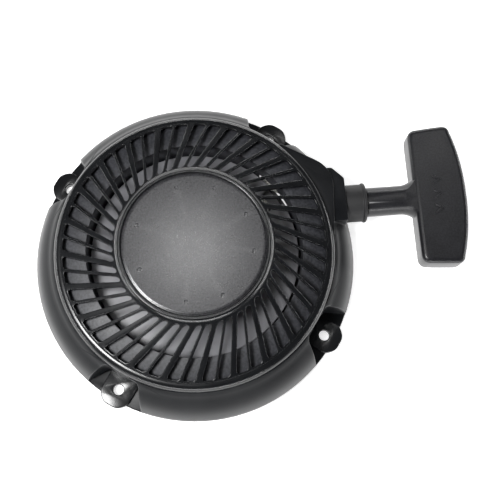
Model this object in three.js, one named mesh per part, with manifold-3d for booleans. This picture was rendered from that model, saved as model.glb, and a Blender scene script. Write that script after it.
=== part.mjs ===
// Recoil (rope-pull) starter for a small four-stroke engine, as an assembly of separate pieces.
// Millimetres. +Z is the crank axis, pointing away from the engine; z = 0 is the mounting plane.
import * as THREE from 'three';
import { mergeVertices } from 'three/addons/utils/BufferGeometryUtils.js';
import Module from 'manifold-3d';

const wasm = await Module();
wasm.setup();

// ---------------------------------------------------------------------------------------
// Driving dimensions
// ---------------------------------------------------------------------------------------

// How pieces meet.
const GAP = 0.3;
const EPSILON = 1;
const WELD = 1e-4;

// How finely round stretches are faceted.
const LARGE_ROUND = 48;
const MEDIUM_ROUND = 28;
const SMALL_ROUND = 14;
const WIRE_SIDES = 6;
const CORNER_FACETS = 4;
const WIDE_CORNER_FACETS = 6;
const ROPE_SIDES = 8;

// Housing shell.
const WALL = 2.6;
const TOP_HEIGHT = 55;
const DISC_RADIUS = 40.6;
const DISC_GROOVE_DEPTH = 0.7;
const DISC_GROOVE_WIDTH = 0.9;
const COLLAR_WIDTH = 2;
const VENT_INNER_RADIUS = 46.8;
const VENT_INNER_HEIGHT = 51.6;
const VENT_OUTER_RADIUS = 76.4;
const VENT_OUTER_HEIGHT = 40.3;
const VENT_MARGIN = 1.5;
const RIM_RADIUS = 82.2;
const RIM_HEIGHT = 34.2;
const RIM_ROUND = 4.2;
const STEP_RADIUS = 86;
const STEP_HEIGHT = 29;
const SKIRT_RADIUS = 97;
const SKIRT_EDGE_HEIGHT = 6;
const SKIRT_BULGE = 2.2;
const SKIRT_FACETS = 3;

// Vent slots, in leaning pairs.
const VENT_PAIRS = 24;
const VENT_PAIR_SPREAD = 6.7;
const VENT_PHASE = 9.8;
const VENT_LEAN_RADIUS = 24;
const VENT_INNER_WIDTH = 3;
const VENT_OUTER_WIDTH = 6.9;

// Stiffening ribs under the top disc.
const RIB_COUNT = 6;
const RIB_THICKNESS = 2;
const RIB_DEPTH = 5;

// Mounting ears and the recesses above them.
const EAR_COUNT = 4;
const EAR_ANGLE = 60;
const EAR_SETBACK = 6.5;
const EAR_HOLE_RADIUS = 3.2;
const EAR_HALF_WIDTH = 9.6;
const EAR_REACH = 10.6;
const EAR_CHAMFER = 5;
const EAR_THICKNESS = 5;
const RECESS_FLOOR = 3;
const RECESS_INNER_HALF_WIDTH = 11;
const RECESS_OUTER_HALF_WIDTH = 22;
const RECESS_NECK_SETBACK = 4.5;
const RECESS_CORNER = 3;
const EAR_CORNER = 3;
const NECK_CORNER = 2;
const NECK_ROUND = 30;

// Pull direction and rope exit.
const PULL_ANGLE = 4.8;
const EXIT_SETBACK = 7;
const EXIT_OFFSET = 33.3;
const NOSE_NORMAL = 64.5;
const NOSE_CORNER = 12;
const EXIT_BLOCK_HALF_WIDTH = 13.2;
const EXIT_BLOCK_HALF_HEIGHT = 13.2;
const EXIT_BLOCK_CHAMFER = 7;
const EXIT_BLOCK_INSET = 12;
const EXIT_BLOCK_CORNER = 1;

// Rope, its guide and its liner.
const ROPE_RADIUS = 2.5;
const ROPE_TURNS = 3;
const ROPE_BEND = 12;
const ROPE_STEPS = 16;
const GUIDE_RADIUS = 11.4;
const GUIDE_LENGTH = 13;
const GUIDE_LIP_RADIUS = 12.1;
const GUIDE_LIP_LENGTH = 2.4;
const GUIDE_LIP_EDGE = 0.7;
const GUIDE_SPIGOT_RADIUS = 7.5;
const LINER_WALL = 1.2;
const LINER_FLANGE = 1.8;

// Screen ring under the vents, with the wall and lip that keep the rope on the pulley. The rope
// leaves through a way cut in the wall.
const SCREEN_CLEARANCE = 1.5;
const SCREEN_THICKNESS = 1.2;
const SCREEN_HEIGHT = 33;
const SCREEN_RISE = 5;
const SCREEN_LIP = 6;
const ROPE_WAY_LEAD = 10;
const ROPE_WAY_TRAIL = 4;
const SCREEN_TAB_COUNT = 8;
const SCREEN_TAB_LENGTH = 6;
const SCREEN_TAB_DEPTH = 1.8;
const SCREEN_TAB_HEIGHT = 2.4;

// Centre post and its fasteners.
const POST_RADIUS = 8;
const POST_TIP_RADIUS = 6;
const POST_ROOT_RADIUS = 13;
const POST_ROOT_LENGTH = 6;
const INSERT_RADIUS = 4;
const INSERT_LENGTH = 12;
const DRILL_SPARE = 2;
const SCREW_RADIUS = 3;
const SCREW_LENGTH = 18;
const SCREW_HEAD_RADIUS = 5.8;
const SCREW_HEAD_HEIGHT = 4;
const SCREW_FLANGE_RADIUS = 7;
const SCREW_FLANGE_HEIGHT = 1.2;
const WASHER_RADIUS = 9.5;
const WASHER_THICKNESS = 1.2;

// Pulley.
const PULLEY_RADIUS = 61.6;
const PULLEY_HUB_RADIUS = 11.5;
const PULLEY_HUB_DROP = 2.6;
const PULLEY_WEB = 2.8;
const POCKET_FLOOR = 1;
const FLANGE_THICKNESS = 2.4;
const DRUM_WALL = 3.4;
const GROOVE_SLACK = 0.55;
const FLANGE_DEPTH = 21.6;
const CUP_WALL = 2.5;
const CUP_HEIGHT = 17.8;
const NOTCH_ANGLE = 37.5;
const NOTCH_WIDTH = 9;
const NOTCH_DEPTH = 15.6;
const KNOT_ANGLE = 200;
const KNOT_RADIUS = 4.4;
const KNOT_FLATNESS = 0.72;
const KNOT_SIDES = 12;
const KNOT_RINGS = 8;

// Recoil spring and its keeper.
const KEEPER_WALL = 0.8;
const KEEPER_BORE = 11;
const SPRING_THICKNESS = 0.6;
const SPRING_TURNS = 7;
const SPRING_STEPS = 16;
const SPRING_HOOK = 2;

// Pawls, guide plate and their springs.
const PAWL_COUNT = 2;
const PAWL_NAMES = ['a', 'b'];
const PAWL_PITCH_RADIUS = 24;
const PAWL_PIN_RADIUS = 3.1;
const PAWL_EYE_RADIUS = 5.6;
const PAWL_THICKNESS = 4;
const PAWL_REACH = 20;
const PAWL_LEAN = 3;
const PAWL_TIP_HALF_WIDTH = 2.6;
const PAWL_BEVEL = 1.5;
const PAWL_TIP_ROUND = 0.6;
const PAWL_HEEL_ROUND = 1.5;
const PAWL_WAIST_OUT = 1.2;
const PAWL_WAIST_IN = 2;
const PAWL_WAIST_ROUND = 3;
const PAWL_PEG_REACH = 10;
const PAWL_PEG_RADIUS = 1.5;
const PAWL_SWING = 38;
const PLATE_LAG = 25;
const PLATE_MARGIN = 6.5;
const PLATE_THICKNESS = 3;
const PLATE_STEPS = 8;
const PLATE_SLOT_SIDES = 12;
const PEG_SLACK = 0.9;
const PAWL_WIRE_RADIUS = 0.3;
const PAWL_WIRE_TURNS = 1.2;
const PAWL_WIRE_PITCH = 0.8;
const PAWL_WIRE_STEPS = 14;
const PAWL_TAIL_ANGLE = 40;
const FRICTION_WIRE_RADIUS = 0.6;
const FRICTION_STEPS = 18;

// Pull handle, measured from the mouth of the rope guide.
const STEM_RADIUS = 8.9;
const STEM_FILLET = 8;
const STEM_EDGE = 0.8;
const STEM_FACETS = 4;
const STEM_FLAT = 1;
const GRIP_START = 29.5;
const GRIP_DEPTH = 26.5;
const GRIP_CROWN = 5.5;
const GRIP_HALF_LENGTH = 42;
const GRIP_FLARE = 1.2;
const GRIP_THICKNESS = 18;
const GRIP_EDGE = 3;
const GRIP_CORNER = 4;
const GRIP_EDGE_FACETS = 2;
const HANDLE_BORE_RADIUS = 3.1;
const POCKET_RADIUS = 7.6;
const POCKET_START = 44;
const KNOT_WASHER_THICKNESS = 1.2;
const PLUG_THICKNESS = 4;
const PLUG_INSET = 1;
const CHEVRON_COUNT = 3;
const CHEVRON_PITCH = 9;
const CHEVRON_ARM = 7;
const CHEVRON_STROKE = 1.8;
const CHEVRON_RAISE = 0.6;
const CHEVRON_SHIFT = 2;

// ---------------------------------------------------------------------------------------
// Sizes and heights that follow from them
// ---------------------------------------------------------------------------------------

const earPitch = SKIRT_RADIUS - EAR_SETBACK;
const neckRadius = SKIRT_RADIUS - RECESS_NECK_SETBACK;
const drumRadius = PULLEY_RADIUS - FLANGE_DEPTH;
const notchInner = PULLEY_RADIUS - NOTCH_DEPTH;
const plateRadius = drumRadius - PLATE_MARGIN;

const washerBottom = SCREW_HEAD_HEIGHT + GAP;
const washerTop = washerBottom + WASHER_THICKNESS;
const plateBottom = washerTop + GAP;
const plateTop = plateBottom + PLATE_THICKNESS;
const pawlBottom = plateTop + GAP;
const pawlTop = pawlBottom + PAWL_THICKNESS;
const webBottom = pawlTop + GAP;
const webTop = webBottom + PULLEY_WEB;
const grooveBottom = webBottom + FLANGE_THICKNESS;
const grooveWidth = 2 * (ROPE_RADIUS + GROOVE_SLACK);
const grooveTop = grooveBottom + grooveWidth;
const flangeTop = grooveTop + FLANGE_THICKNESS;
const cupTop = webTop + CUP_HEIGHT;
const cupInner = drumRadius - DRUM_WALL;
const hubBottom = webBottom - PULLEY_HUB_DROP;
const keeperOuter = cupInner - GAP;
const springBottom = webTop + GAP;
const springTop = cupTop - GAP - KEEPER_WALL - GAP;
const ropeHeight = (grooveBottom + grooveTop) / 2;
const windingInner = drumRadius + GAP;
const windingOuter = windingInner + 2 * ROPE_RADIUS * ROPE_TURNS;
const runRadius = windingOuter + GAP + ROPE_RADIUS;
const ceiling = TOP_HEIGHT - WALL;
const pocketTop = webTop - POCKET_FLOOR;
const postTipTop = hubBottom + GAP;

const pull = new THREE.Vector2(Math.cos(radians(PULL_ANGLE)), Math.sin(radians(PULL_ANGLE)));
const exitPoint = new THREE.Vector2(SKIRT_RADIUS - EXIT_SETBACK, EXIT_OFFSET);
const mouthPoint = exitPoint.clone().addScaledVector(pull, GUIDE_LENGTH);

// Where the rope leaves the winding, as an angle, and where it bends into the liner.
const ropeBendPoint = exitPoint.clone().addScaledVector(pull, -EXIT_BLOCK_INSET - LINER_FLANGE);
const ropeLeaves = ropeBendPoint.angle() + Math.acos(runRadius / ropeBendPoint.length());

// ---------------------------------------------------------------------------------------
// Materials
// ---------------------------------------------------------------------------------------

const blackPlastic = () =>
  new THREE.MeshStandardMaterial({ color: '#26272b', roughness: 0.42, metalness: 0 });
const gripPlastic = () =>
  new THREE.MeshStandardMaterial({ color: '#2d2d31', roughness: 0.5, metalness: 0 });
const paleNylon = () => new THREE.MeshStandardMaterial({ color: '#9a9a9c', roughness: 0.4, metalness: 0 });
const blackRubber = () =>
  new THREE.MeshStandardMaterial({ color: '#1b1b1d', roughness: 0.8, metalness: 0 });
const ropeFibre = () => new THREE.MeshStandardMaterial({ color: '#dcdcd6', roughness: 0.9, metalness: 0 });
const springSteel = () =>
  new THREE.MeshStandardMaterial({ color: '#4b5058', roughness: 0.35, metalness: 1 });
const zincSteel = () => new THREE.MeshStandardMaterial({ color: '#b9bcc0', roughness: 0.35, metalness: 1 });
const screenPlastic = () =>
  new THREE.MeshStandardMaterial({ color: '#3c3d42', roughness: 0.6, metalness: 0 });
const brass = () => new THREE.MeshStandardMaterial({ color: '#b5923f', roughness: 0.35, metalness: 1 });

// ---------------------------------------------------------------------------------------
// Shape helpers
// ---------------------------------------------------------------------------------------

function radians(degrees) {
  return degrees * Math.PI / 180;
}

// A point at a radius and an angle in degrees.
function polar(radius, degrees) {
  return new THREE.Vector2(radius * Math.cos(radians(degrees)), radius * Math.sin(radians(degrees)));
}

// Six times the signed volume of an indexed triangle list.
function signedVolume(position, triangles) {
  const a = new THREE.Vector3();
  const b = new THREE.Vector3();
  const c = new THREE.Vector3();
  let total = 0;
  for (let i = 0; i < triangles.length; i += 3) {
    a.fromBufferAttribute(position, triangles[i]);
    b.fromBufferAttribute(position, triangles[i + 1]);
    c.fromBufferAttribute(position, triangles[i + 2]);
    total += a.dot(b.cross(c));
  }
  return total;
}

// Turns a closed three.js geometry into a solid that can be joined and cut.
function solid(geometry) {
  const bare = geometry.clone();
  bare.deleteAttribute('normal');
  bare.deleteAttribute('uv');
  const merged = mergeVertices(bare, WELD);
  const position = merged.attributes.position;
  const index = merged.index.array;
  const triangles = [];
  for (let i = 0; i < index.length; i += 3) {
    const [a, b, c] = [index[i], index[i + 1], index[i + 2]];
    if (a !== b && b !== c && c !== a) {
      triangles.push(a, b, c);
    }
  }
  if (signedVolume(position, triangles) < 0) {
    triangles.reverse();
  }
  const vertProperties = new Float32Array(position.array);
  const triVerts = new Uint32Array(triangles);
  return new wasm.Manifold(new wasm.Mesh({ numProp: 3, vertProperties, triVerts }));
}

// Gives a solid back as a three.js geometry.
function geometryOf(body) {
  const mesh = body.getMesh();
  const geometry = new THREE.BufferGeometry();
  geometry.setAttribute('position', new THREE.BufferAttribute(new Float32Array(mesh.vertProperties), 3));
  geometry.setIndex(new THREE.BufferAttribute(new Uint32Array(mesh.triVerts), 1));
  geometry.computeVertexNormals();
  return geometry;
}

function joined(bodies) {
  return bodies.reduce((whole, body) => whole.add(body));
}

// A solid turned about Z from [radius, height] pairs.
function turned(profile, segments) {
  const points = profile.map(([radius, height]) => new THREE.Vector2(radius, height));
  points.push(points[0].clone());
  const geometry = new THREE.LatheGeometry(points, segments);
  geometry.rotateX(Math.PI / 2);
  return solid(geometry);
}

// A tube-shaped or solid round bar along Z.
function round(inner, outer, bottom, top, segments) {
  return turned([[inner, bottom], [outer, bottom], [outer, top], [inner, top]], segments);
}

// A solid cylinder along Z standing at a plan point.
function cylinderAt(centre, radius, bottom, top, segments) {
  const geometry = new THREE.CylinderGeometry(radius, radius, top - bottom, segments);
  geometry.rotateX(Math.PI / 2);
  geometry.translate(centre.x, centre.y, (bottom + top) / 2);
  return solid(geometry);
}

// A flat outline raised from one height to another.
function prism(shape, bottom, top, curveSegments = CORNER_FACETS) {
  const geometry = new THREE.ExtrudeGeometry(shape, {
    depth: top - bottom, bevelEnabled: false, curveSegments,
  });
  geometry.translate(0, 0, bottom);
  return solid(geometry);
}

// A closed outline through corner points, each corner rounded by its own radius.
function roundedShape(corners) {
  const shape = new THREE.Shape();
  corners.forEach(([x, y, radius], i) => {
    const here = new THREE.Vector2(x, y);
    const [px, py] = corners[(i + corners.length - 1) % corners.length];
    const [nx, ny] = corners[(i + 1) % corners.length];
    const before = new THREE.Vector2(px, py).sub(here);
    const after = new THREE.Vector2(nx, ny).sub(here);
    const reach = Math.min(radius, before.length() / 2, after.length() / 2);
    const start = here.clone().addScaledVector(before.normalize(), reach);
    const end = here.clone().addScaledVector(after.normalize(), reach);
    if (i === 0) {
      shape.moveTo(start.x, start.y);
    } else {
      shape.lineTo(start.x, start.y);
    }
    if (reach > 0) {
      shape.quadraticCurveTo(here.x, here.y, end.x, end.y);
    }
  });
  shape.closePath();
  return shape;
}

// A round bar swept along a curve.
function swept(curve, radius, sides, steps) {
  const section = new THREE.Shape();
  for (let i = 0; i < sides; i += 1) {
    const corner = polar(radius, 360 * i / sides);
    if (i === 0) {
      section.moveTo(corner.x, corner.y);
    } else {
      section.lineTo(corner.x, corner.y);
    }
  }
  section.closePath();
  return solid(new THREE.ExtrudeGeometry(section, { steps, extrudePath: curve, bevelEnabled: false }));
}

// Moves a solid built along +Z at the origin so that it lies along the pull line, at a distance
// from the mouth of the rope guide.
function alongPull(body, distance = 0) {
  const geometry = geometryOf(body);
  geometry.rotateY(Math.PI / 2);
  geometry.rotateZ(radians(PULL_ANGLE));
  const place = mouthPoint.clone().addScaledVector(pull, distance);
  geometry.translate(place.x, place.y, ropeHeight);
  return solid(geometry);
}

// Turns a solid about the crank axis.
function spun(body, degrees) {
  const geometry = geometryOf(body);
  geometry.rotateZ(radians(degrees));
  return solid(geometry);
}

// Moves an open profile sideways by a distance, towards the axis side.
function offsetProfile(profile, distance) {
  return profile.map(([radius, height], i) => {
    const [r0, z0] = profile[Math.max(i - 1, 0)];
    const [r1, z1] = profile[Math.min(i + 1, profile.length - 1)];
    const along = new THREE.Vector2(r1 - r0, z1 - z0).normalize();
    return [Math.max(radius + along.y * distance, 0), height - along.x * distance];
  });
}

// ---------------------------------------------------------------------------------------
// Housing
// ---------------------------------------------------------------------------------------

// Outside of the dome from the edge of the top disc down to the mounting plane.
function domeProfile() {
  const fall = (VENT_INNER_HEIGHT - VENT_OUTER_HEIGHT) / (VENT_OUTER_RADIUS - VENT_INNER_RADIUS);
  const profile = [
    [DISC_RADIUS + DISC_GROOVE_WIDTH + COLLAR_WIDTH, TOP_HEIGHT - DISC_GROOVE_DEPTH],
    [VENT_INNER_RADIUS - VENT_MARGIN, VENT_INNER_HEIGHT + VENT_MARGIN * fall],
    [VENT_OUTER_RADIUS + VENT_MARGIN, VENT_OUTER_HEIGHT - VENT_MARGIN * fall],
  ];
  for (let i = 0; i <= SKIRT_FACETS; i += 1) {
    const turn = radians(90 * i / SKIRT_FACETS);
    const radius = RIM_RADIUS - RIM_ROUND * (1 - Math.sin(turn));
    const height = RIM_HEIGHT + RIM_ROUND * Math.cos(turn);
    profile.push([radius, height]);
  }
  profile.push([STEP_RADIUS, STEP_HEIGHT]);
  for (let i = 1; i <= SKIRT_FACETS; i += 1) {
    const share = i / SKIRT_FACETS;
    const bulge = SKIRT_BULGE * Math.sin(Math.PI * share);
    const radius = STEP_RADIUS + (SKIRT_RADIUS - STEP_RADIUS) * share + bulge / 2;
    const height = STEP_HEIGHT + (SKIRT_EDGE_HEIGHT - STEP_HEIGHT) * share + bulge;
    profile.push([radius, height]);
  }
  profile.push([SKIRT_RADIUS, 0]);
  return profile;
}

function domeOutside() {
  const grooveEdge = DISC_RADIUS + DISC_GROOVE_WIDTH;
  const profile = [
    [0, 0],
    [0, TOP_HEIGHT],
    [DISC_RADIUS, TOP_HEIGHT],
    [DISC_RADIUS, TOP_HEIGHT - DISC_GROOVE_DEPTH],
    [grooveEdge, TOP_HEIGHT - DISC_GROOVE_DEPTH],
    [grooveEdge, TOP_HEIGHT],
  ];
  return turned(profile.concat(domeProfile()), LARGE_ROUND);
}

function domeInside() {
  const inside = offsetProfile(domeProfile(), WALL);
  const [edgeRadius] = inside[inside.length - 1];
  const profile = [[0, -EPSILON], [0, ceiling]].concat(inside);
  profile[profile.length - 1] = [edgeRadius, -EPSILON];
  return turned(profile, LARGE_ROUND);
}

// Plan outline of the nose, the flat extension of the rim towards the rope exit.
function noseShape(inset) {
  const radius = RIM_RADIUS - inset;
  const tangent = polar(radius, NOSE_NORMAL);
  const normal = polar(1, NOSE_NORMAL);
  const cornerY = (radius - radius * normal.x) / normal.y;
  return roundedShape([
    [0, 0, 0],
    [radius, 0, 0],
    [radius, cornerY, NOSE_CORNER],
    [tangent.x, tangent.y, 0],
  ]);
}

// One recess over an ear, widening outwards, grown on all sides by a margin.
function recess(margin, bottom) {
  const inner = RIM_RADIUS - margin;
  const outer = SKIRT_RADIUS + EAR_REACH;
  const half = RECESS_INNER_HALF_WIDTH + margin;
  const wide = RECESS_OUTER_HALF_WIDTH + margin;
  const shape = roundedShape([
    [inner, -half, RECESS_CORNER],
    [outer, -wide, 0],
    [outer, wide, 0],
    [inner, half, RECESS_CORNER],
  ]);
  return prism(shape, bottom, TOP_HEIGHT);
}

// One mounting ear, flat underneath at z = 0, with its neck to the skirt.
function ear() {
  const tip = earPitch + EAR_REACH;
  const root = RIM_RADIUS - 2 * WALL;
  const tab = roundedShape([
    [root, -EAR_HALF_WIDTH, 0],
    [tip - EAR_CHAMFER, -EAR_HALF_WIDTH, EAR_CORNER],
    [tip, -EAR_HALF_WIDTH + EAR_CHAMFER, EAR_CORNER],
    [tip, EAR_HALF_WIDTH - EAR_CHAMFER, EAR_CORNER],
    [tip - EAR_CHAMFER, EAR_HALF_WIDTH, EAR_CORNER],
    [root, EAR_HALF_WIDTH, 0],
  ]);
  const neckHalf = RECESS_OUTER_HALF_WIDTH - WALL;
  const neck = roundedShape([
    [root, -RECESS_INNER_HALF_WIDTH - WALL, 0],
    [neckRadius - WALL, -neckHalf, NECK_CORNER],
    [neckRadius, 0, NECK_ROUND],
    [neckRadius - WALL, neckHalf, NECK_CORNER],
    [root, RECESS_INNER_HALF_WIDTH + WALL, 0],
  ]);
  return prism(tab, 0, EAR_THICKNESS).add(prism(neck, 0, RECESS_FLOOR));
}

// The block that carries the rope guide on the outside of the nose.
function exitBlock() {
  const low = -EXIT_BLOCK_HALF_WIDTH;
  const high = EXIT_BLOCK_HALF_WIDTH;
  const shape = roundedShape([
    [-EXIT_BLOCK_INSET, low, 0],
    [0, low, EXIT_BLOCK_CORNER],
    [0, high, EXIT_BLOCK_CORNER],
    [-EXIT_BLOCK_CHAMFER, high + EXIT_BLOCK_CHAMFER, EXIT_BLOCK_CORNER],
    [-EXIT_BLOCK_INSET, high + EXIT_BLOCK_CHAMFER, 0],
  ]);
  const bottom = ropeHeight - EXIT_BLOCK_HALF_HEIGHT;
  const top = ropeHeight + EXIT_BLOCK_HALF_HEIGHT;
  const geometry = geometryOf(prism(shape, bottom, top));
  geometry.rotateZ(radians(PULL_ANGLE));
  geometry.translate(exitPoint.x, exitPoint.y, 0);
  return solid(geometry);
}

// One leaning vent slot: a straight cut whose centre line passes the axis at the lean radius.
function ventSlot(angle) {
  const startReach = Math.sqrt(VENT_INNER_RADIUS ** 2 - VENT_LEAN_RADIUS ** 2);
  const endReach = Math.sqrt(VENT_OUTER_RADIUS ** 2 - VENT_LEAN_RADIUS ** 2);
  const lead = Math.atan2(VENT_LEAN_RADIUS, endReach) * 180 / Math.PI;
  const shape = roundedShape([
    [startReach, VENT_LEAN_RADIUS - VENT_INNER_WIDTH / 2, VENT_INNER_WIDTH / 2],
    [endReach, VENT_LEAN_RADIUS - VENT_OUTER_WIDTH / 2, 0],
    [endReach, VENT_LEAN_RADIUS + VENT_OUTER_WIDTH / 2, 0],
    [startReach, VENT_LEAN_RADIUS + VENT_INNER_WIDTH / 2, VENT_INNER_WIDTH / 2],
  ]);
  const bottom = VENT_OUTER_HEIGHT - 2 * WALL;
  return spun(prism(shape, bottom, TOP_HEIGHT + EPSILON, 1), angle - lead);
}

function ventSlots() {
  const slots = [];
  for (let pair = 0; pair < VENT_PAIRS; pair += 1) {
    const centre = VENT_PHASE + 360 * pair / VENT_PAIRS;
    slots.push(ventSlot(centre - VENT_PAIR_SPREAD / 2));
    slots.push(ventSlot(centre + VENT_PAIR_SPREAD / 2));
  }
  return slots;
}

// The post that carries the pulley, with its threaded insert's seat and the spring's slit.
function post() {
  const body = turned([
    [0, plateBottom],
    [POST_TIP_RADIUS, plateBottom],
    [POST_TIP_RADIUS, postTipTop],
    [POST_RADIUS, postTipTop],
    [POST_RADIUS, ceiling - POST_ROOT_LENGTH],
    [POST_ROOT_RADIUS, ceiling],
    [POST_ROOT_RADIUS, ceiling + WALL / 2],
    [0, ceiling + WALL / 2],
  ], MEDIUM_ROUND);
  const seat = INSERT_RADIUS + GAP;
  const seatTop = plateBottom + INSERT_LENGTH + GAP;
  const drillTop = Math.max(seatTop, SCREW_FLANGE_HEIGHT + SCREW_LENGTH) + DRILL_SPARE;
  const bore = round(0, seat, plateBottom - EPSILON, seatTop, SMALL_ROUND);
  const drill = round(0, SCREW_RADIUS + GAP, plateBottom - EPSILON, drillTop, SMALL_ROUND);
  const slit = new THREE.BoxGeometry(
    POST_RADIUS, SPRING_THICKNESS + 2 * GAP, springTop - springBottom + 2 * EPSILON,
  );
  slit.translate(POST_RADIUS, 0, (springTop + springBottom) / 2);
  return body.subtract(bore).subtract(drill).subtract(solid(slit));
}

function ribs() {
  const inner = POST_RADIUS - EPSILON;
  const outer = DISC_RADIUS;
  return Array.from({ length: RIB_COUNT }, (_, i) => {
    const box = new THREE.BoxGeometry(outer - inner, RIB_THICKNESS, RIB_DEPTH + WALL / 2);
    box.translate((inner + outer) / 2, 0, ceiling + WALL / 2 - (RIB_DEPTH + WALL / 2) / 2);
    box.rotateZ(2 * Math.PI * i / RIB_COUNT);
    return solid(box);
  });
}

// Inside radius of the dome wall at a height.
function insideRadiusAt(height) {
  const inside = offsetProfile(domeProfile(), WALL);
  const i = inside.findIndex(([, z]) => z < height);
  const [r0, z0] = inside[i - 1];
  const [r1, z1] = inside[i];
  return r0 + (r1 - r0) * (height - z0) / (z1 - z0);
}

// Small tabs under the screen ring that snap it against the dome.
function screenTabs() {
  const top = SCREEN_HEIGHT - GAP;
  const bottom = top - SCREEN_TAB_HEIGHT;
  const outer = insideRadiusAt(bottom) + WALL / 2;
  const inner = insideRadiusAt(SCREEN_HEIGHT) - SCREEN_TAB_DEPTH;
  return Array.from({ length: SCREEN_TAB_COUNT }, (_, i) => {
    const box = new THREE.BoxGeometry(outer - inner, SCREEN_TAB_LENGTH, SCREEN_TAB_HEIGHT);
    box.translate((inner + outer) / 2, 0, (bottom + top) / 2);
    box.rotateZ(2 * Math.PI * (i + 0.5) / SCREEN_TAB_COUNT);
    return solid(box);
  });
}

function aroundEars(make) {
  return Array.from({ length: EAR_COUNT }, (_, i) => spun(make(), EAR_ANGLE + 360 * i / EAR_COUNT));
}

function starterHousing() {
  const nose = prism(noseShape(0), 0, RIM_HEIGHT, WIDE_CORNER_FACETS);
  const noseInside = prism(noseShape(WALL), -EPSILON, RIM_HEIGHT - WALL, WIDE_CORNER_FACETS);
  const recesses = joined(aroundEars(() => recess(0, RECESS_FLOOR)));
  const recessWalls = joined(aroundEars(() => recess(WALL, -2 * EPSILON)));
  const outside = joined([domeOutside(), nose, exitBlock()]).subtract(recesses);
  const inside = domeInside().add(noseInside).subtract(recessWalls);
  const ears = joined(aroundEars(ear)).subtract(domeInside().subtract(recessWalls));
  const additions = joined([post(), ...ribs(), ...screenTabs(), ears]);
  const spigot = round(0, GUIDE_SPIGOT_RADIUS + GAP, -2 * EXIT_BLOCK_INSET, EPSILON, MEDIUM_ROUND);
  const guideRoom = round(0, GUIDE_RADIUS + GAP, 0, GUIDE_LENGTH, MEDIUM_ROUND);
  const holes = aroundEars(() => {
    return cylinderAt(polar(earPitch, 0), EAR_HOLE_RADIUS, -EPSILON, TOP_HEIGHT, SMALL_ROUND);
  });
  return outside
    .subtract(inside)
    .add(additions)
    .subtract(joined(ventSlots()))
    .subtract(joined(holes))
    .subtract(alongPull(spigot.add(guideRoom), -GUIDE_LENGTH));
}

// ---------------------------------------------------------------------------------------
// Rope guide, liner and screen ring
// ---------------------------------------------------------------------------------------

// Bush that the handle seats on. Its spigot goes through the housing wall.
function ropeGuide() {
  const bore = ROPE_RADIUS + LINER_WALL + 2 * GAP;
  const spigotStart = -GUIDE_LENGTH - EXIT_BLOCK_INSET + WALL;
  return alongPull(turned([
    [bore, spigotStart],
    [GUIDE_SPIGOT_RADIUS, spigotStart],
    [GUIDE_SPIGOT_RADIUS, GAP - GUIDE_LENGTH],
    [GUIDE_RADIUS, GAP - GUIDE_LENGTH],
    [GUIDE_RADIUS, -GUIDE_LIP_LENGTH],
    [GUIDE_LIP_RADIUS, GUIDE_LIP_EDGE - GUIDE_LIP_LENGTH],
    [GUIDE_LIP_RADIUS, -GUIDE_LIP_EDGE],
    [GUIDE_LIP_RADIUS - GUIDE_LIP_EDGE, 0],
    [bore, 0],
  ], MEDIUM_ROUND));
}

// Hard liner that the rope slides on.
function guideLiner() {
  const inner = ROPE_RADIUS + GAP;
  const outer = inner + LINER_WALL;
  const start = -GUIDE_LENGTH - EXIT_BLOCK_INSET + WALL - GAP;
  return alongPull(turned([
    [inner + LINER_WALL / 2, start - LINER_FLANGE],
    [outer + LINER_FLANGE, start - LINER_FLANGE],
    [outer + LINER_FLANGE, start],
    [outer, start],
    [outer, -GAP],
    [inner, -GAP],
    [inner, start - LINER_FLANGE / 2],
  ], SMALL_ROUND));
}

function screenRing() {
  const top = SCREEN_HEIGHT + SCREEN_THICKNESS;
  const outer = insideRadiusAt(top) - GAP;
  const inner = PULLEY_RADIUS + SCREEN_CLEARANCE;
  const lipInner = inner - SCREEN_LIP;
  const lipTop = webBottom - SCREEN_CLEARANCE / 2;
  const wallOuter = inner + SCREEN_THICKNESS;
  const ring = turned([
    [lipInner, lipTop - SCREEN_THICKNESS],
    [wallOuter, lipTop - SCREEN_THICKNESS],
    [wallOuter, SCREEN_HEIGHT + SCREEN_RISE],
    [outer, SCREEN_HEIGHT],
    [outer, top],
    [inner, top + SCREEN_RISE],
    [inner, lipTop],
    [lipInner, lipTop],
  ], LARGE_ROUND);
  const reach = wallOuter + EPSILON;
  const nearSide = ropeLeaves - Math.acos((runRadius - ROPE_RADIUS) / wallOuter);
  const farSide = ropeLeaves - Math.acos(Math.min((runRadius + ROPE_RADIUS) / inner, 1));
  const wayStart = nearSide - radians(ROPE_WAY_LEAD);
  const corner = new THREE.Vector2(Math.cos(wayStart), Math.sin(wayStart)).multiplyScalar(reach);
  const ropeWay = new THREE.Shape();
  ropeWay.moveTo(0, 0);
  ropeWay.lineTo(corner.x, corner.y);
  ropeWay.absarc(0, 0, reach, wayStart, farSide + radians(ROPE_WAY_TRAIL));
  ropeWay.closePath();
  const low = ropeHeight - 2 * ROPE_RADIUS;
  const high = ropeHeight + 2 * ROPE_RADIUS;
  return ring.subtract(prism(ropeWay, low, high, WIDE_CORNER_FACETS));
}

// ---------------------------------------------------------------------------------------
// Fasteners on the post
// ---------------------------------------------------------------------------------------

function centerScrew() {
  const head = round(0, SCREW_HEAD_RADIUS, 0, SCREW_HEAD_HEIGHT, 6);
  const flangeBottom = SCREW_HEAD_HEIGHT - SCREW_FLANGE_HEIGHT;
  const flange = round(0, SCREW_FLANGE_RADIUS, flangeBottom, SCREW_HEAD_HEIGHT, MEDIUM_ROUND);
  const shank = round(0, SCREW_RADIUS, SCREW_HEAD_HEIGHT / 2, SCREW_LENGTH, SMALL_ROUND);
  return joined([head, flange, shank]);
}

function screwWasher() {
  return round(SCREW_RADIUS + GAP, WASHER_RADIUS, washerBottom, washerTop, MEDIUM_ROUND);
}

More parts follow.
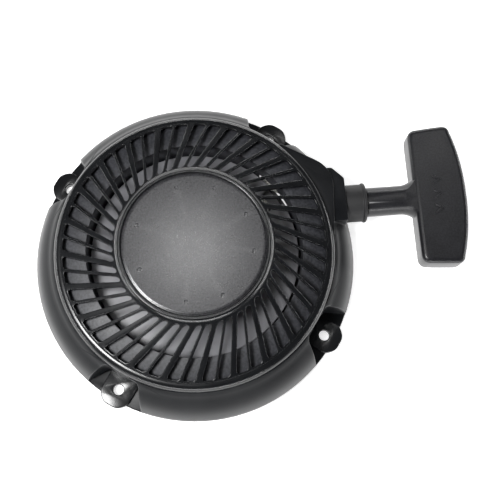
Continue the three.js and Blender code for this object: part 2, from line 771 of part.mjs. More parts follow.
function postInsert() {
  const bottom = plateBottom;
  return round(SCREW_RADIUS + GAP, INSERT_RADIUS, bottom, bottom + INSERT_LENGTH, SMALL_ROUND);
}

// ---------------------------------------------------------------------------------------
// Pulley, rope, spring and keeper
// ---------------------------------------------------------------------------------------

function pawlPivot(i) {
  return polar(PAWL_PITCH_RADIUS, 360 * i / PAWL_COUNT);
}

function knotPoint() {
  return polar(windingInner + ROPE_RADIUS, KNOT_ANGLE);
}

function ropePulley() {
  const wheel = turned([
    [POST_RADIUS + GAP, hubBottom],
    [PULLEY_HUB_RADIUS, hubBottom],
    [PULLEY_HUB_RADIUS, webBottom],
    [PULLEY_RADIUS, webBottom],
    [PULLEY_RADIUS, grooveBottom],
    [drumRadius, grooveBottom],
    [drumRadius, grooveTop],
    [PULLEY_RADIUS, grooveTop],
    [PULLEY_RADIUS, flangeTop],
    [cupInner + CUP_WALL, flangeTop],
    [cupInner + CUP_WALL, cupTop],
    [cupInner, cupTop],
    [cupInner, webTop],
    [POST_RADIUS + GAP, webTop],
  ], LARGE_ROUND);
  const pins = [];
  const pockets = [];
  for (let i = 0; i < PAWL_COUNT; i += 1) {
    pins.push(cylinderAt(pawlPivot(i), PAWL_PIN_RADIUS, pawlBottom, webTop - EPSILON, SMALL_ROUND));
    pockets.push(cylinderAt(pawlPivot(i), PAWL_EYE_RADIUS, webBottom - EPSILON, pocketTop, SMALL_ROUND));
  }
  const notchLength = PULLEY_RADIUS - notchInner;
  const notch = roundedShape([
    [notchInner, -NOTCH_WIDTH / 2, NOTCH_WIDTH / 3],
    [notchInner + notchLength * 2, -NOTCH_WIDTH, 0],
    [notchInner + notchLength * 2, NOTCH_WIDTH, 0],
    [notchInner, NOTCH_WIDTH / 2, NOTCH_WIDTH / 3],
  ]);
  const notchCut = spun(prism(notch, grooveTop - GAP, flangeTop + EPSILON), NOTCH_ANGLE);
  const knotHole = cylinderAt(
    knotPoint(), ROPE_RADIUS + GAP, webBottom - EPSILON, grooveBottom + GAP, SMALL_ROUND,
  );
  return wheel
    .subtract(joined(pockets))
    .add(joined(pins))
    .subtract(notchCut)
    .subtract(knotHole);
}

// The wound rope, as the outside of its coil.
function ropeWinding() {
  const bottom = ropeHeight - ROPE_RADIUS;
  return round(windingInner, windingOuter, bottom, bottom + 2 * ROPE_RADIUS, LARGE_ROUND);
}

// Stopper knot under the pulley, with the stub of rope through the flange.
function pulleyKnot() {
  const centre = knotPoint();
  const knot = new THREE.SphereGeometry(KNOT_RADIUS, KNOT_SIDES, KNOT_RINGS);
  knot.scale(1, 1, KNOT_FLATNESS);
  knot.translate(centre.x, centre.y, webBottom - GAP - KNOT_RADIUS * KNOT_FLATNESS);
  const stubBottom = webBottom - KNOT_RADIUS;
  const stubTop = ropeHeight - ROPE_RADIUS - GAP;
  return solid(knot).add(cylinderAt(centre, ROPE_RADIUS, stubBottom, stubTop, ROPE_SIDES));
}

// The rope from the winding to the mouth of the guide: straight, one bend at the liner, straight.
function ropeRun() {
  const bend = ropeBendPoint;
  const start = new THREE.Vector2(Math.cos(ropeLeaves), Math.sin(ropeLeaves)).multiplyScalar(runRadius);
  const back = start.clone().sub(bend).normalize();
  const bendStart = bend.clone().addScaledVector(back, ROPE_BEND);
  const bendEnd = bend.clone().addScaledVector(pull, ROPE_BEND / 3);
  const end = mouthPoint.clone();
  const at = (point) => new THREE.Vector3(point.x, point.y, ropeHeight);
  const route = new THREE.CatmullRomCurve3([
    at(start),
    at(start.clone().lerp(bendStart, 0.5)),
    at(bendStart),
    at(bend.clone().lerp(bendStart.clone().lerp(bendEnd, 0.5), 0.5)),
    at(bendEnd),
    at(bendEnd.clone().lerp(end, 0.5)),
    at(end),
  ], false, 'centripetal');
  return swept(route, ROPE_RADIUS, ROPE_SIDES, ROPE_STEPS);
}

// Flat spiral of spring strip. Its straight inner end sits in the slit in the post, and its outer
// end lies against the keeper's wall.
function recoilSpring() {
  const inner = POST_RADIUS + GAP + SPRING_THICKNESS;
  const outer = keeperOuter - KEEPER_WALL - GAP - SPRING_THICKNESS;
  const half = SPRING_THICKNESS / 2;
  const steps = SPRING_TURNS * SPRING_STEPS;
  const inside = [];
  const outside = [];
  for (let i = 1; i <= steps; i += 1) {
    const share = i / steps;
    const radius = inner + (outer - inner) * share;
    const angle = 360 * SPRING_TURNS * share;
    inside.push(polar(radius, angle));
    outside.push(polar(radius + SPRING_THICKNESS, angle));
  }
  inside[0].setLength(inner + half);
  const shape = new THREE.Shape([
    new THREE.Vector2(POST_RADIUS - SPRING_HOOK, -half),
    new THREE.Vector2(inner + SPRING_THICKNESS, -half),
    ...outside,
    ...inside.reverse(),
    new THREE.Vector2(inner, half),
    new THREE.Vector2(POST_RADIUS - SPRING_HOOK, half),
  ]);
  return prism(shape, springBottom, springTop);
}

// Sheet-steel keeper that covers the spring and holds its outer end.
function springKeeper() {
  const bottom = springBottom;
  const top = cupTop - GAP;
  return turned([
    [keeperOuter - KEEPER_WALL, bottom],
    [keeperOuter, bottom],
    [keeperOuter, top],
    [KEEPER_BORE, top],
    [KEEPER_BORE, top - KEEPER_WALL],
    [keeperOuter - KEEPER_WALL, top - KEEPER_WALL],
  ], MEDIUM_ROUND);
}

// ---------------------------------------------------------------------------------------
// Pawls, ratchet plate and small springs
// ---------------------------------------------------------------------------------------

// Where the pawl's peg is, in the pulley's plan, when the pawl has swung by an angle.
function pegPoint(swing) {
  const arm = new THREE.Vector2(-PAWL_LEAN * PAWL_PEG_REACH / PAWL_REACH, -PAWL_PEG_REACH);
  arm.rotateAround(new THREE.Vector2(), radians(swing));
  return arm.add(new THREE.Vector2(PAWL_PITCH_RADIUS, 0));
}

function pawl(i) {
  const tipX = -PAWL_LEAN;
  const outline = roundedShape([
    [-PAWL_EYE_RADIUS, 0, 0],
    [PAWL_WAIST_OUT - PAWL_EYE_RADIUS, -PAWL_REACH / 2, PAWL_WAIST_ROUND],
    [tipX - PAWL_TIP_HALF_WIDTH, -PAWL_REACH, PAWL_HEEL_ROUND],
    [tipX + PAWL_TIP_HALF_WIDTH, -PAWL_REACH - PAWL_BEVEL, PAWL_TIP_ROUND],
    [PAWL_EYE_RADIUS - PAWL_WAIST_IN, -PAWL_REACH / 2, PAWL_WAIST_ROUND],
    [PAWL_EYE_RADIUS, 0, 0],
  ]);
  const arm = prism(outline, pawlBottom + GAP, pawlTop);
  const eye = cylinderAt(new THREE.Vector2(), PAWL_EYE_RADIUS, pawlBottom + GAP, pawlTop, SMALL_ROUND);
  const peg = cylinderAt(
    pegPoint(0).sub(new THREE.Vector2(PAWL_PITCH_RADIUS, 0)),
    PAWL_PEG_RADIUS,
    plateBottom + GAP,
    pawlTop - EPSILON,
    SMALL_ROUND,
  );
  const hole = cylinderAt(new THREE.Vector2(), PAWL_PIN_RADIUS + GAP, 0, TOP_HEIGHT, SMALL_ROUND);
  const body = geometryOf(joined([arm, eye, peg]).subtract(hole));
  body.translate(PAWL_PITCH_RADIUS, 0, 0);
  return spun(solid(body), 360 * i / PAWL_COUNT);
}

// The plate that drags on the post and works both pawls through two curved slots.
function ratchetPlate() {
  const plate = round(POST_TIP_RADIUS + GAP, plateRadius, plateBottom, plateTop, MEDIUM_ROUND);
  const cuts = [];
  for (let i = 0; i < PAWL_COUNT; i += 1) {
    for (let step = 0; step <= PLATE_STEPS; step += 1) {
      const share = step / PLATE_STEPS;
      const peg = pegPoint(PAWL_SWING * share);
      peg.rotateAround(new THREE.Vector2(), radians(360 * i / PAWL_COUNT - PLATE_LAG * share));
      const reach = PAWL_PEG_RADIUS + PEG_SLACK;
      cuts.push(cylinderAt(peg, reach, plateBottom - EPSILON, plateTop + EPSILON, PLATE_SLOT_SIDES));
    }
  }
  return plate.subtract(joined(cuts));
}

// Hairpin spring that folds a pawl back in, coiled round the pawl's pin.
function pawlSpring(i) {
  const coilRadius = PAWL_PIN_RADIUS + 2 * GAP + PAWL_WIRE_RADIUS;
  const bottom = webBottom + PAWL_WIRE_RADIUS - GAP / 2;
  const steps = PAWL_WIRE_STEPS;
  const tail = polar(PAWL_EYE_RADIUS - PAWL_WIRE_RADIUS - GAP, PAWL_TAIL_ANGLE);
  const points = [new THREE.Vector3(tail.x, tail.y, bottom)];
  for (let step = 0; step <= steps; step += 1) {
    const share = step / steps;
    const place = polar(coilRadius, -360 * PAWL_WIRE_TURNS * share);
    const height = bottom + PAWL_WIRE_PITCH * PAWL_WIRE_TURNS * share;
    points.push(new THREE.Vector3(place.x, place.y, height));
  }
  const route = new THREE.CatmullRomCurve3(points);
  const body = geometryOf(swept(route, PAWL_WIRE_RADIUS, WIRE_SIDES, 2 * steps));
  body.translate(PAWL_PITCH_RADIUS, 0, 0);
  return spun(solid(body), 360 * i / PAWL_COUNT);
}

// Open wire ring that grips the tip of the post and drags the plate.
function frictionSpring() {
  const radius = POST_TIP_RADIUS + GAP + FRICTION_WIRE_RADIUS;
  const height = plateTop + GAP + FRICTION_WIRE_RADIUS;
  const points = [];
  for (let i = 1; i < FRICTION_STEPS; i += 1) {
    const place = polar(radius, 360 * i / FRICTION_STEPS);
    points.push(new THREE.Vector3(place.x, place.y, height));
  }
  const tail = polar(radius + 3 * FRICTION_WIRE_RADIUS, 360 * (1 - 1 / (2 * FRICTION_STEPS)));
  points.push(new THREE.Vector3(tail.x, tail.y, height));
  const route = new THREE.CatmullRomCurve3(points);
  return swept(route, FRICTION_WIRE_RADIUS, WIRE_SIDES, 2 * FRICTION_STEPS);
}

// ---------------------------------------------------------------------------------------
// Handle
// ---------------------------------------------------------------------------------------

// Turns a plan piece drawn along +X from the mouth of the guide onto the pull line.
function onPullLine(body) {
  const geometry = geometryOf(body);
  geometry.rotateZ(radians(PULL_ANGLE));
  geometry.translate(mouthPoint.x, mouthPoint.y, ropeHeight);
  return solid(geometry);
}

// T-shaped bar with flared ends and an arched outer face.
function gripBar() {
  const near = GRIP_HALF_LENGTH - GRIP_EDGE;
  const far = near + GRIP_FLARE;
  const inner = GRIP_START + GRIP_EDGE;
  const outer = GRIP_START + GRIP_DEPTH - GRIP_EDGE;
  const crown = outer + GRIP_CROWN;
  const shape = new THREE.Shape();
  shape.moveTo(inner, 0);
  shape.lineTo(inner, -near + GRIP_CORNER);
  shape.quadraticCurveTo(inner, -near, inner + GRIP_CORNER, -near);
  shape.lineTo(outer, -far);
  shape.quadraticCurveTo(crown, -far / 2, crown, 0);
  shape.quadraticCurveTo(crown, far / 2, outer, far);
  shape.lineTo(inner + GRIP_CORNER, near);
  shape.quadraticCurveTo(inner, near, inner, near - GRIP_CORNER);
  shape.closePath();
  const geometry = new THREE.ExtrudeGeometry(shape, {
    depth: GRIP_THICKNESS - 2 * GRIP_EDGE,
    bevelThickness: GRIP_EDGE,
    bevelSize: GRIP_EDGE,
    bevelSegments: GRIP_EDGE_FACETS,
    curveSegments: WIDE_CORNER_FACETS,
  });
  geometry.translate(0, 0, GRIP_EDGE - GRIP_THICKNESS / 2);
  return solid(geometry);
}

// Textless arrow marks on the top of the bar, pointing the way to pull.
function chevrons() {
  const top = GRIP_THICKNESS / 2 + CHEVRON_RAISE;
  const centre = GRIP_START + GRIP_DEPTH / 2 + CHEVRON_SHIFT;
  return Array.from({ length: CHEVRON_COUNT }, (_, i) => {
    const y = CHEVRON_PITCH * (i - (CHEVRON_COUNT - 1) / 2);
    const back = centre - CHEVRON_ARM / 2;
    const shape = new THREE.Shape([
      new THREE.Vector2(back, y + CHEVRON_ARM / 2),
      new THREE.Vector2(back, y + CHEVRON_ARM / 2 - CHEVRON_STROKE),
      new THREE.Vector2(back + CHEVRON_ARM / 2, y),
      new THREE.Vector2(back, y - CHEVRON_ARM / 2 + CHEVRON_STROKE),
      new THREE.Vector2(back, y - CHEVRON_ARM / 2),
      new THREE.Vector2(back + CHEVRON_ARM / 2 + CHEVRON_STROKE, y),
    ]);
    return prism(shape, GRIP_THICKNESS / 2 - EPSILON, top);
  });
}

function handleGrip() {
  const bar = joined([gripBar(), ...chevrons()]);
  const profile = [[0, GAP], [STEM_RADIUS - STEM_EDGE, GAP], [STEM_RADIUS, GAP + STEM_EDGE]];
  const filletStart = GRIP_START - STEM_FILLET;
  for (let i = 0; i <= STEM_FACETS; i += 1) {
    const turn = radians(90 * i / STEM_FACETS);
    profile.push([
      STEM_RADIUS + STEM_FILLET * (1 - Math.cos(turn)),
      filletStart + STEM_FILLET * Math.sin(turn) + GRIP_EDGE * i / STEM_FACETS,
    ]);
  }
  profile.push([0, GRIP_START + GRIP_EDGE]);
  const slabHeight = GRIP_THICKNESS - 2 * STEM_FLAT;
  const slab = new THREE.BoxGeometry(2 * (GRIP_START + GRIP_DEPTH), 2 * GRIP_HALF_LENGTH, slabHeight);
  const stem = geometryOf(turned(profile, MEDIUM_ROUND));
  stem.rotateY(Math.PI / 2);
  const flatStem = solid(stem).intersect(solid(slab));
  const bore = round(0, HANDLE_BORE_RADIUS, 0, POCKET_START + EPSILON, SMALL_ROUND);
  const pocket = round(
    0, POCKET_RADIUS, POCKET_START, GRIP_START + GRIP_DEPTH + 2 * GRIP_CROWN, MEDIUM_ROUND,
  );
  return onPullLine(bar.add(flatStem)).subtract(alongPull(bore)).subtract(alongPull(pocket));
}

function knotWasher() {
  const start = POCKET_START + GAP;
  const outer = POCKET_RADIUS - GAP;
  return alongPull(round(ROPE_RADIUS + GAP, outer, start, start + KNOT_WASHER_THICKNESS, SMALL_ROUND));
}

function handleRope() {
  const end = POCKET_START + GAP + KNOT_WASHER_THICKNESS + GAP;
  return alongPull(round(0, ROPE_RADIUS, GAP, end, ROPE_SIDES));
}

function handleKnot() {
  const start = POCKET_START + KNOT_WASHER_THICKNESS + 3 * GAP;
  const knot = new THREE.SphereGeometry(KNOT_RADIUS, KNOT_SIDES, KNOT_RINGS);
  knot.scale(1, 1, KNOT_FLATNESS);
  knot.translate(0, 0, start + KNOT_RADIUS * KNOT_FLATNESS);
  return alongPull(solid(knot));
}

function handlePlug() {
  const end = GRIP_START + GRIP_DEPTH + GRIP_CROWN - PLUG_INSET;
  return alongPull(round(0, POCKET_RADIUS - GAP, end - PLUG_THICKNESS, end, MEDIUM_ROUND));
}

// ---------------------------------------------------------------------------------------
// Assembly
// ---------------------------------------------------------------------------------------

const starter = new THREE.Group();

function place(name, body, material) {
  const mesh = new THREE.Mesh(geometryOf(body), material);
  mesh.name = name;
  starter.add(mesh);
}

place('starter_housing', starterHousing(), blackPlastic());
place('rope_guide', ropeGuide(), blackRubber());
place('guide_liner', guideLiner(), zincSteel());
place('screen_ring', screenRing(), screenPlastic());
place('post_insert', postInsert(), brass());
place('center_screw', centerScrew(), zincSteel());
place('screw_washer', screwWasher(), zincSteel());
place('recoil_spring', recoilSpring(), springSteel());
place('rope_run', ropeRun(), ropeFibre());
place('rope_pulley', ropePulley(), paleNylon());
place('spring_keeper', springKeeper(), zincSteel());
place('rope_winding', ropeWinding(), ropeFibre());
place('pulley_knot', pulleyKnot(), ropeFibre());
PAWL_NAMES.forEach((letter, i) => {
  place(`pawl_${letter}`, pawl(i), zincSteel());
  place(`pawl_spring_${letter}`, pawlSpring(i), springSteel());
});
place('ratchet_plate', ratchetPlate(), blackPlastic());
place('friction_spring', frictionSpring(), springSteel());
place('handle_grip', handleGrip(), gripPlastic());
place('handle_rope', handleRope(), ropeFibre());
place('knot_washer', knotWasher(), zincSteel());
place('handle_knot', handleKnot(), ropeFibre());
place('handle_plug', handlePlug(), gripPlastic());

export default starter;
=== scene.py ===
"""Recoil starter for a small four-stroke engine: the finished look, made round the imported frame.

Sizes are in millimetres until a piece is finished, and its mesh is then brought to metres.
"""
import math

import bmesh
import bpy
from mathutils import Matrix, Vector


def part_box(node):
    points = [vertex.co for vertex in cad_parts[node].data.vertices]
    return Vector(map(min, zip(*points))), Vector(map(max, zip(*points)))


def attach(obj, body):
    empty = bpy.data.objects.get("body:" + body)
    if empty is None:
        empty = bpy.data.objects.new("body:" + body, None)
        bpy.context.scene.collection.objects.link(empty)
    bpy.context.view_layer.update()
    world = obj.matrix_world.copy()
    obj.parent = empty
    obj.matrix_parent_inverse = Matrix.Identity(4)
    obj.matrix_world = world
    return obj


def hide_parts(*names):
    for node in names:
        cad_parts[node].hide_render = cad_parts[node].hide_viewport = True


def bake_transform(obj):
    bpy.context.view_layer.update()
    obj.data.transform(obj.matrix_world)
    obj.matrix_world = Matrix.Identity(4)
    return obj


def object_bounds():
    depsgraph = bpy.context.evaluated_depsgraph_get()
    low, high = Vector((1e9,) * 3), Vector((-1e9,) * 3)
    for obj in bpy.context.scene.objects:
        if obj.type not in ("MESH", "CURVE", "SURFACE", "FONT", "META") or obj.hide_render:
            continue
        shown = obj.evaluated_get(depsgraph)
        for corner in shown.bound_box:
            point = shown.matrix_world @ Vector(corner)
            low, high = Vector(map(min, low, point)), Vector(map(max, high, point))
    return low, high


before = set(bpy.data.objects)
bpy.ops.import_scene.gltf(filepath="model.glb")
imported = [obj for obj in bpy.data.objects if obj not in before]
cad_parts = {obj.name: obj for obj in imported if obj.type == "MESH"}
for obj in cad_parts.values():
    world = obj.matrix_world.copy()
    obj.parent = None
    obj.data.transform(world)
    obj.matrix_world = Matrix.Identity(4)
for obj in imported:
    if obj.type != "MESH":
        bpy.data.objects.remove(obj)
cad_low, cad_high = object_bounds()

MM = 0.001

# --------------------------------------------------
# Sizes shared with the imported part
# --------------------------------------------------

WALL = 2.6
GAP = 0.3
TOP = 55.0
DISC_RADIUS = 40.6
GROOVE_WIDTH = 0.9
GROOVE_DEPTH = 0.7
COLLAR_RADIUS = 43.5
COLLAR_FOOT = 45.3
SLOPE_START = 46.8
SLOT_INNER_RADIUS = 46.4
SLOT_OUTER_RADIUS = 76.4
SLOT_INNER_HEIGHT = 51.6
SLOT_OUTER_HEIGHT = 40.3
SLOT_FIELD_RADIUS = 77.9
RIM_RADIUS = 82.2
RIM_HEIGHT = 34.2
RIM_ROUND = 4.2
STEP_RADIUS = 86.0
STEP_HEIGHT = 29.0
SKIRT_RADIUS = 97.0
SKIRT_EDGE = 6.0
SKIRT_BULGE = 2.2

SLOT_PAIRS = 24
SLOT_SPREAD = math.radians(6.7)
SLOT_PHASE = math.radians(9.8)
SLOT_LEAN = 24.0
SLOT_INNER_HALF = 1.5
SLOT_OUTER_HALF = 3.45
SLOT_CORNER = 1.7
SLOT_EDGE = 0.45

EAR_ANGLES = (60, 150, 240, 330)
EAR_PITCH = 90.5
EAR_HOLE = 3.2
EAR_HALF = 9.6
EAR_TIP = EAR_PITCH + 10.6
EAR_CHAMFER = 5.0
EAR_THICKNESS = 5.0
RECESS_FLOOR = 3.0
RECESS_HALVES = (11.0, 22.0)
CORNER = 3.0

PULL_ANGLE = math.radians(4.8)
PULL = Vector((math.cos(PULL_ANGLE), math.sin(PULL_ANGLE), 0))
EXIT = Vector((90.0, 33.3, 0))
NOSE_NORMAL = math.radians(64.5)
NOSE_CORNER = 12.0
BLOCK_HALF = 13.2
BLOCK_CHAMFER = 7.0
BLOCK_INSET = 12.0
GUIDE_LENGTH = 13.0
LINER_FLANGE = 1.8
MOUTH = EXIT + PULL * GUIDE_LENGTH

ROPE_RADIUS = 2.5
ROPE_TURNS = 3
ROPE_BEND = 12.0
PULLEY_RADIUS = 61.6
DRUM_RADIUS = 40.0
DRUM_WALL = 3.4
NOTCH_ANGLE = 37.5
KNOT_ANGLE = 200
SCREEN_CLEARANCE = 1.5
SCREEN_THICKNESS = 1.2
FLANGE_TOP = 24.3
FLANGE = 2.4
GROOVE = 6.1
WEB_BOTTOM = 13.4
WEB_TOP = 16.2
CUP_WALL = 2.5
CUP_HEIGHT = 17.8

RIB_COUNT = 6
SCREW_RADIUS = 3.0
SCREW_FLANGE = 7.0
HEAD_RADIUS = 5.8
INSERT_RADIUS = 4.0
POST_RADIUS = 8.0
WASHER_RADIUS = 9.5

PAWL_PITCH = 24.0
PAWL_PIN = 3.1
PAWL_EYE = 5.6
PAWL_SWING = 38
PLATE_LAG = 25


def box_of(node):
    """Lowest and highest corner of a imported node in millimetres."""
    low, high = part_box(node)
    return low / MM, high / MM


ROPE_HEIGHT = sum(corner.z for corner in box_of("rope_winding")) / 2

# --------------------------------------------------
# Modelling helpers
# --------------------------------------------------

WELD = 0.0005
TINY = 1e-6
NEARLY_HALF = 0.49


def finished(name, work, finish, body, replaces=(), sharp=35.0, scale=MM):
    """Turns a bmesh in millimetres into a piece that rides on a body."""
    bmesh.ops.remove_doubles(work, verts=work.verts, dist=WELD)
    bmesh.ops.recalc_face_normals(work, faces=work.faces)
    bmesh.ops.scale(work, vec=(scale, scale, scale), verts=work.verts)
    mesh = bpy.data.meshes.new(name)
    work.to_mesh(mesh)
    work.free()
    mesh.polygons.foreach_set("use_smooth", [True] * len(mesh.polygons))
    mesh.set_sharp_from_angle(angle=math.radians(sharp))
    piece = bpy.data.objects.new(name, mesh)
    bpy.context.scene.collection.objects.link(piece)
    mesh.materials.append(finish)
    if body:
        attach(piece, body)
    if replaces:
        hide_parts(*replaces)
    return piece


def lathe(profile, steps, closed=True):
    """Spins a chain of (radius, height) points a full turn about the crank axis."""
    work = bmesh.new()
    verts = [work.verts.new((radius, 0, height)) for radius, height in profile]
    pairs = list(zip(verts, verts[1:]))
    if closed:
        pairs.append((verts[-1], verts[0]))
    edges = [work.edges.new(pair) for pair in pairs]
    bmesh.ops.spin(
        work,
        geom=verts + edges,
        cent=(0, 0, 0),
        axis=(0, 0, 1),
        dvec=(0, 0, 0),
        angle=2 * math.pi,
        steps=steps,
        use_merge=True,
        use_duplicate=False,
    )
    bmesh.ops.remove_doubles(work, verts=work.verts, dist=WELD)
    return work


def drum(radius, bottom, top, steps):
    """A plain round bar about the crank axis, to add or cut."""
    return lathe([(0, bottom), (radius, bottom), (radius, top), (0, top)], steps, closed=False)


def on_curve(start, control, end, share):
    """A point of the quadratic curve from start to end."""
    return start * (1 - share) ** 2 + control * 2 * share * (1 - share) + end * share * share


def rounded(points, radius, steps=5):
    """A closed chain of 2-D points with its corners rounded. A point may carry its own radius."""
    chain = []
    count = len(points)
    for i, point in enumerate(points):
        here = Vector(point[:2])
        size = point[2] if len(point) > 2 else radius
        before = Vector(points[i - 1][:2]) - here
        after = Vector(points[(i + 1) % count][:2]) - here
        reach = min(size, before.length * NEARLY_HALF, after.length * NEARLY_HALF)
        if reach < TINY:
            chain.append(tuple(here))
            continue
        start = here + before.normalized() * reach
        end = here + after.normalized() * reach
        for k in range(steps + 1):
            chain.append(tuple(on_curve(start, here, end, k / steps)))
    return chain


def prism(outline, bottom, top):
    """An outline raised from one height to another."""
    work = bmesh.new()
    face = work.faces.new([work.verts.new((x, y, bottom)) for x, y in outline])
    made = bmesh.ops.extrude_face_region(work, geom=[face], use_keep_orig=True)
    raised = [v for v in made["geom"] if isinstance(v, bmesh.types.BMVert)]
    bmesh.ops.translate(work, vec=(0, 0, top - bottom), verts=raised)
    bmesh.ops.recalc_face_normals(work, faces=work.faces)
    return work


def moved(work, matrix):
    """Carries a solid by a matrix."""
    bmesh.ops.transform(work, matrix=matrix, verts=work.verts)
    return work


def spun(work, degrees):
    """Turns a solid about the crank axis."""
    return moved(work, Matrix.Rotation(math.radians(degrees), 4, "Z"))


def object_of(work):
    """A passing object for the Boolean steps."""
    bmesh.ops.recalc_face_normals(work, faces=work.faces)
    mesh = bpy.data.meshes.new("tool")
    work.to_mesh(mesh)
    work.free()
    item = bpy.data.objects.new("tool", mesh)
    bpy.context.scene.collection.objects.link(item)
    return item


def combined(base, steps):
    """Joins and cuts solids in order: each step is an operation and a bmesh."""
    item = object_of(base)
    for kind, other in steps:
        tool = object_of(other)
        cut = item.modifiers.new("cut", "BOOLEAN")
        cut.operation = kind
        cut.solver = "MANIFOLD"
        cut.object = tool
        shape = item.evaluated_get(bpy.context.evaluated_depsgraph_get())
        result = bpy.data.meshes.new_from_object(shape)
        item.modifiers.clear()
        item.data = result
        bpy.data.objects.remove(tool)
    work = bmesh.new()
    work.from_mesh(item.data)
    bpy.data.objects.remove(item)
    return work


def bevelled(work, edges, width, segments):
    """Rounds the edges with a number of segments."""
    bmesh.ops.bevel(
        work,
        geom=edges,
        offset=width,
        offset_type="OFFSET",
        segments=segments,
        profile=0.5,
        affect="EDGES",
        material=-1,
        clamp_overlap=False,
    )
    return work


def sharp_edges(work, angle):
    """The edges between two faces that meet at more than an angle in degrees."""
    return [
        edge
        for edge in work.edges
        if len(edge.link_faces) == 2 and edge.calc_face_angle(0) > math.radians(angle)
    ]


def softened(work, width, angle, segments=3):
    """Rounds the sharp edges of a solid."""
    return bevelled(work, sharp_edges(work, angle), width, segments)


LAID = Matrix.Rotation(math.pi / 2, 4, "Y")


def on_pull():
    """Puts a piece drawn along +X from the guide's mouth on the pull line."""
    place = Vector((MOUTH.x, MOUTH.y, ROPE_HEIGHT))
    return Matrix.Translation(place) @ Matrix.Rotation(PULL_ANGLE, 4, "Z")


def along_pull():
    """Puts a piece turned about +Z on the pull line, from the guide's mouth."""
    return on_pull() @ LAID


# --------------------------------------------------
# Materials
# --------------------------------------------------


def linear(code):
    """sRGB hex to linear colour."""
    channels = []
    for i in (1, 3, 5):
        value = int(code[i:i + 2], 16) / 255
        channels.append(value / 12.92 if value <= 0.04045 else ((value + 0.055) / 1.055) ** 2.4)
    return (*channels, 1.0)


def add_node(tree, kind, settings=None, inputs=None, **links):
    """Adds a node, sets its settings and inputs, and links sockets: name=(node, output)."""
    node = tree.nodes.new(kind)
    for key, value in (settings or {}).items():
        setattr(node, key, value)
    for key, value in (inputs or {}).items():
        node.inputs[key].default_value = value
    for key, (source, output) in links.items():
        tree.links.new(source.outputs[output], node.inputs[key.replace("_", " ")])
    return node


def new_finish(name):
    """A material with an empty Principled shader and the object's coordinates."""
    material = bpy.data.materials.new(name)
    material.use_nodes = True
    tree = material.node_tree
    tree.nodes.clear()
    shader = tree.nodes.new("ShaderNodeBsdfPrincipled")
    output = tree.nodes.new("ShaderNodeOutputMaterial")
    tree.links.new(shader.outputs[0], output.inputs[0])
    place = tree.nodes.new("ShaderNodeTexCoord")
    return material, tree, shader, place


def ramp_colors(node, stops):
    """Sets a color ramp's stops from (position, hex) pairs."""
    elements = node.color_ramp.elements
    while len(elements) > 1:
        elements.remove(elements[-1])
    elements[0].position, elements[0].color = stops[0][0], linear(stops[0][1])
    for position, code in stops[1:]:
        elements.new(position).color = linear(code)


def noise(tree, place, size_mm, detail):
    """Noise with features of a size in millimetres, fixed to the object."""
    return add_node(tree, "ShaderNodeTexNoise", inputs={"Scale": 1 / (size_mm * MM), "Detail": detail},
                    Vector=(place, "Object"))


def toned(tree, source, stops):
    """A color ramp on a noise."""
    tone = add_node(tree, "ShaderNodeValToRGB", Fac=(source, "Fac"))
    ramp_colors(tone, stops)
    return tone


def roughened(tree, shader, source, gloss, spread):
    """Varies the roughness about a middle value."""
    shine = add_node(tree, "ShaderNodeMapRange",
                     inputs={"To Min": gloss - spread, "To Max": gloss + spread}, Value=(source, "Fac"))
    tree.links.new(shine.outputs["Result"], shader.inputs["Roughness"])


def bumped(tree, shader, source, strength, depth_mm):
    """Raises the surface by a noise or a pattern."""
    bump = add_node(tree, "ShaderNodeBump", inputs={"Strength": strength, "Distance": depth_mm * MM},
                    Height=(source, 0))
    tree.links.new(bump.outputs["Normal"], shader.inputs["Normal"])


def mixed_colors(tree, first, second):
    """A colour mix of two ramps. Sockets: 0 the share, 6 and 7 the colours, output 2 the result."""
    mixed = add_node(tree, "ShaderNodeMix", settings={"data_type": "RGBA"})
    tree.links.new(first.outputs["Color"], mixed.inputs[6])
    if second:
        tree.links.new(second.outputs["Color"], mixed.inputs[7])
    return mixed


def moulded_nylon(name, dark, light, gloss, grain_mm=0.9, grain_depth=0.02, ior=1.53, mottle_mm=14.0,
                  speck=None, gloss_spread=0.08, level=0.5):
    """Injection-moulded plastic: fine spark-eroded grain, slight flow mottling, satin gloss."""
    material, tree, shader, place = new_finish(name)
    mottle = noise(tree, place, mottle_mm, 3.0)
    grain = noise(tree, place, grain_mm, 2.0)
    tone = toned(tree, mottle, [(0.3, dark), (0.7, light)])
    if speck:
        flecks = toned(tree, grain, [(0.35, speck[0]), (0.65, speck[1])])
        mixed = mixed_colors(tree, tone, flecks)
        mixed.inputs[0].default_value = speck[2]
        tree.links.new(mixed.outputs[2], shader.inputs["Base Color"])
    else:
        tree.links.new(tone.outputs["Color"], shader.inputs["Base Color"])
    roughened(tree, shader, mottle, gloss, gloss_spread)
    bumped(tree, shader, grain, 0.6, grain_depth)
    shader.inputs["IOR"].default_value = ior
    shader.inputs["Specular IOR Level"].default_value = level
    return material


def plated_steel(name, dark, light, gloss):
    """Zinc-plated or blued steel: bright metal with fine rolling marks and cloudy passivation."""
    material, tree, shader, place = new_finish(name)
    clouds = noise(tree, place, 5.0, 4.0)
    marks = noise(tree, place, 0.6, 1.0)
    tone = toned(tree, clouds, [(0.3, dark), (0.7, light)])
    tree.links.new(tone.outputs["Color"], shader.inputs["Base Color"])
    roughened(tree, shader, marks, gloss, 0.1)
    bumped(tree, shader, marks, 0.4, 0.01)
    shader.inputs["Metallic"].default_value = 1.0
    return material


def maths(tree, operation, first, second=None, times=None):
    """A Math node on one or two links, or on a link and a number."""
    node = add_node(tree, "ShaderNodeMath", {"operation": operation})
    tree.links.new(first, node.inputs[0])
    if second:
        tree.links.new(second, node.inputs[1])
    if times:
        node.inputs[1].default_value = times
    return node.outputs[0]


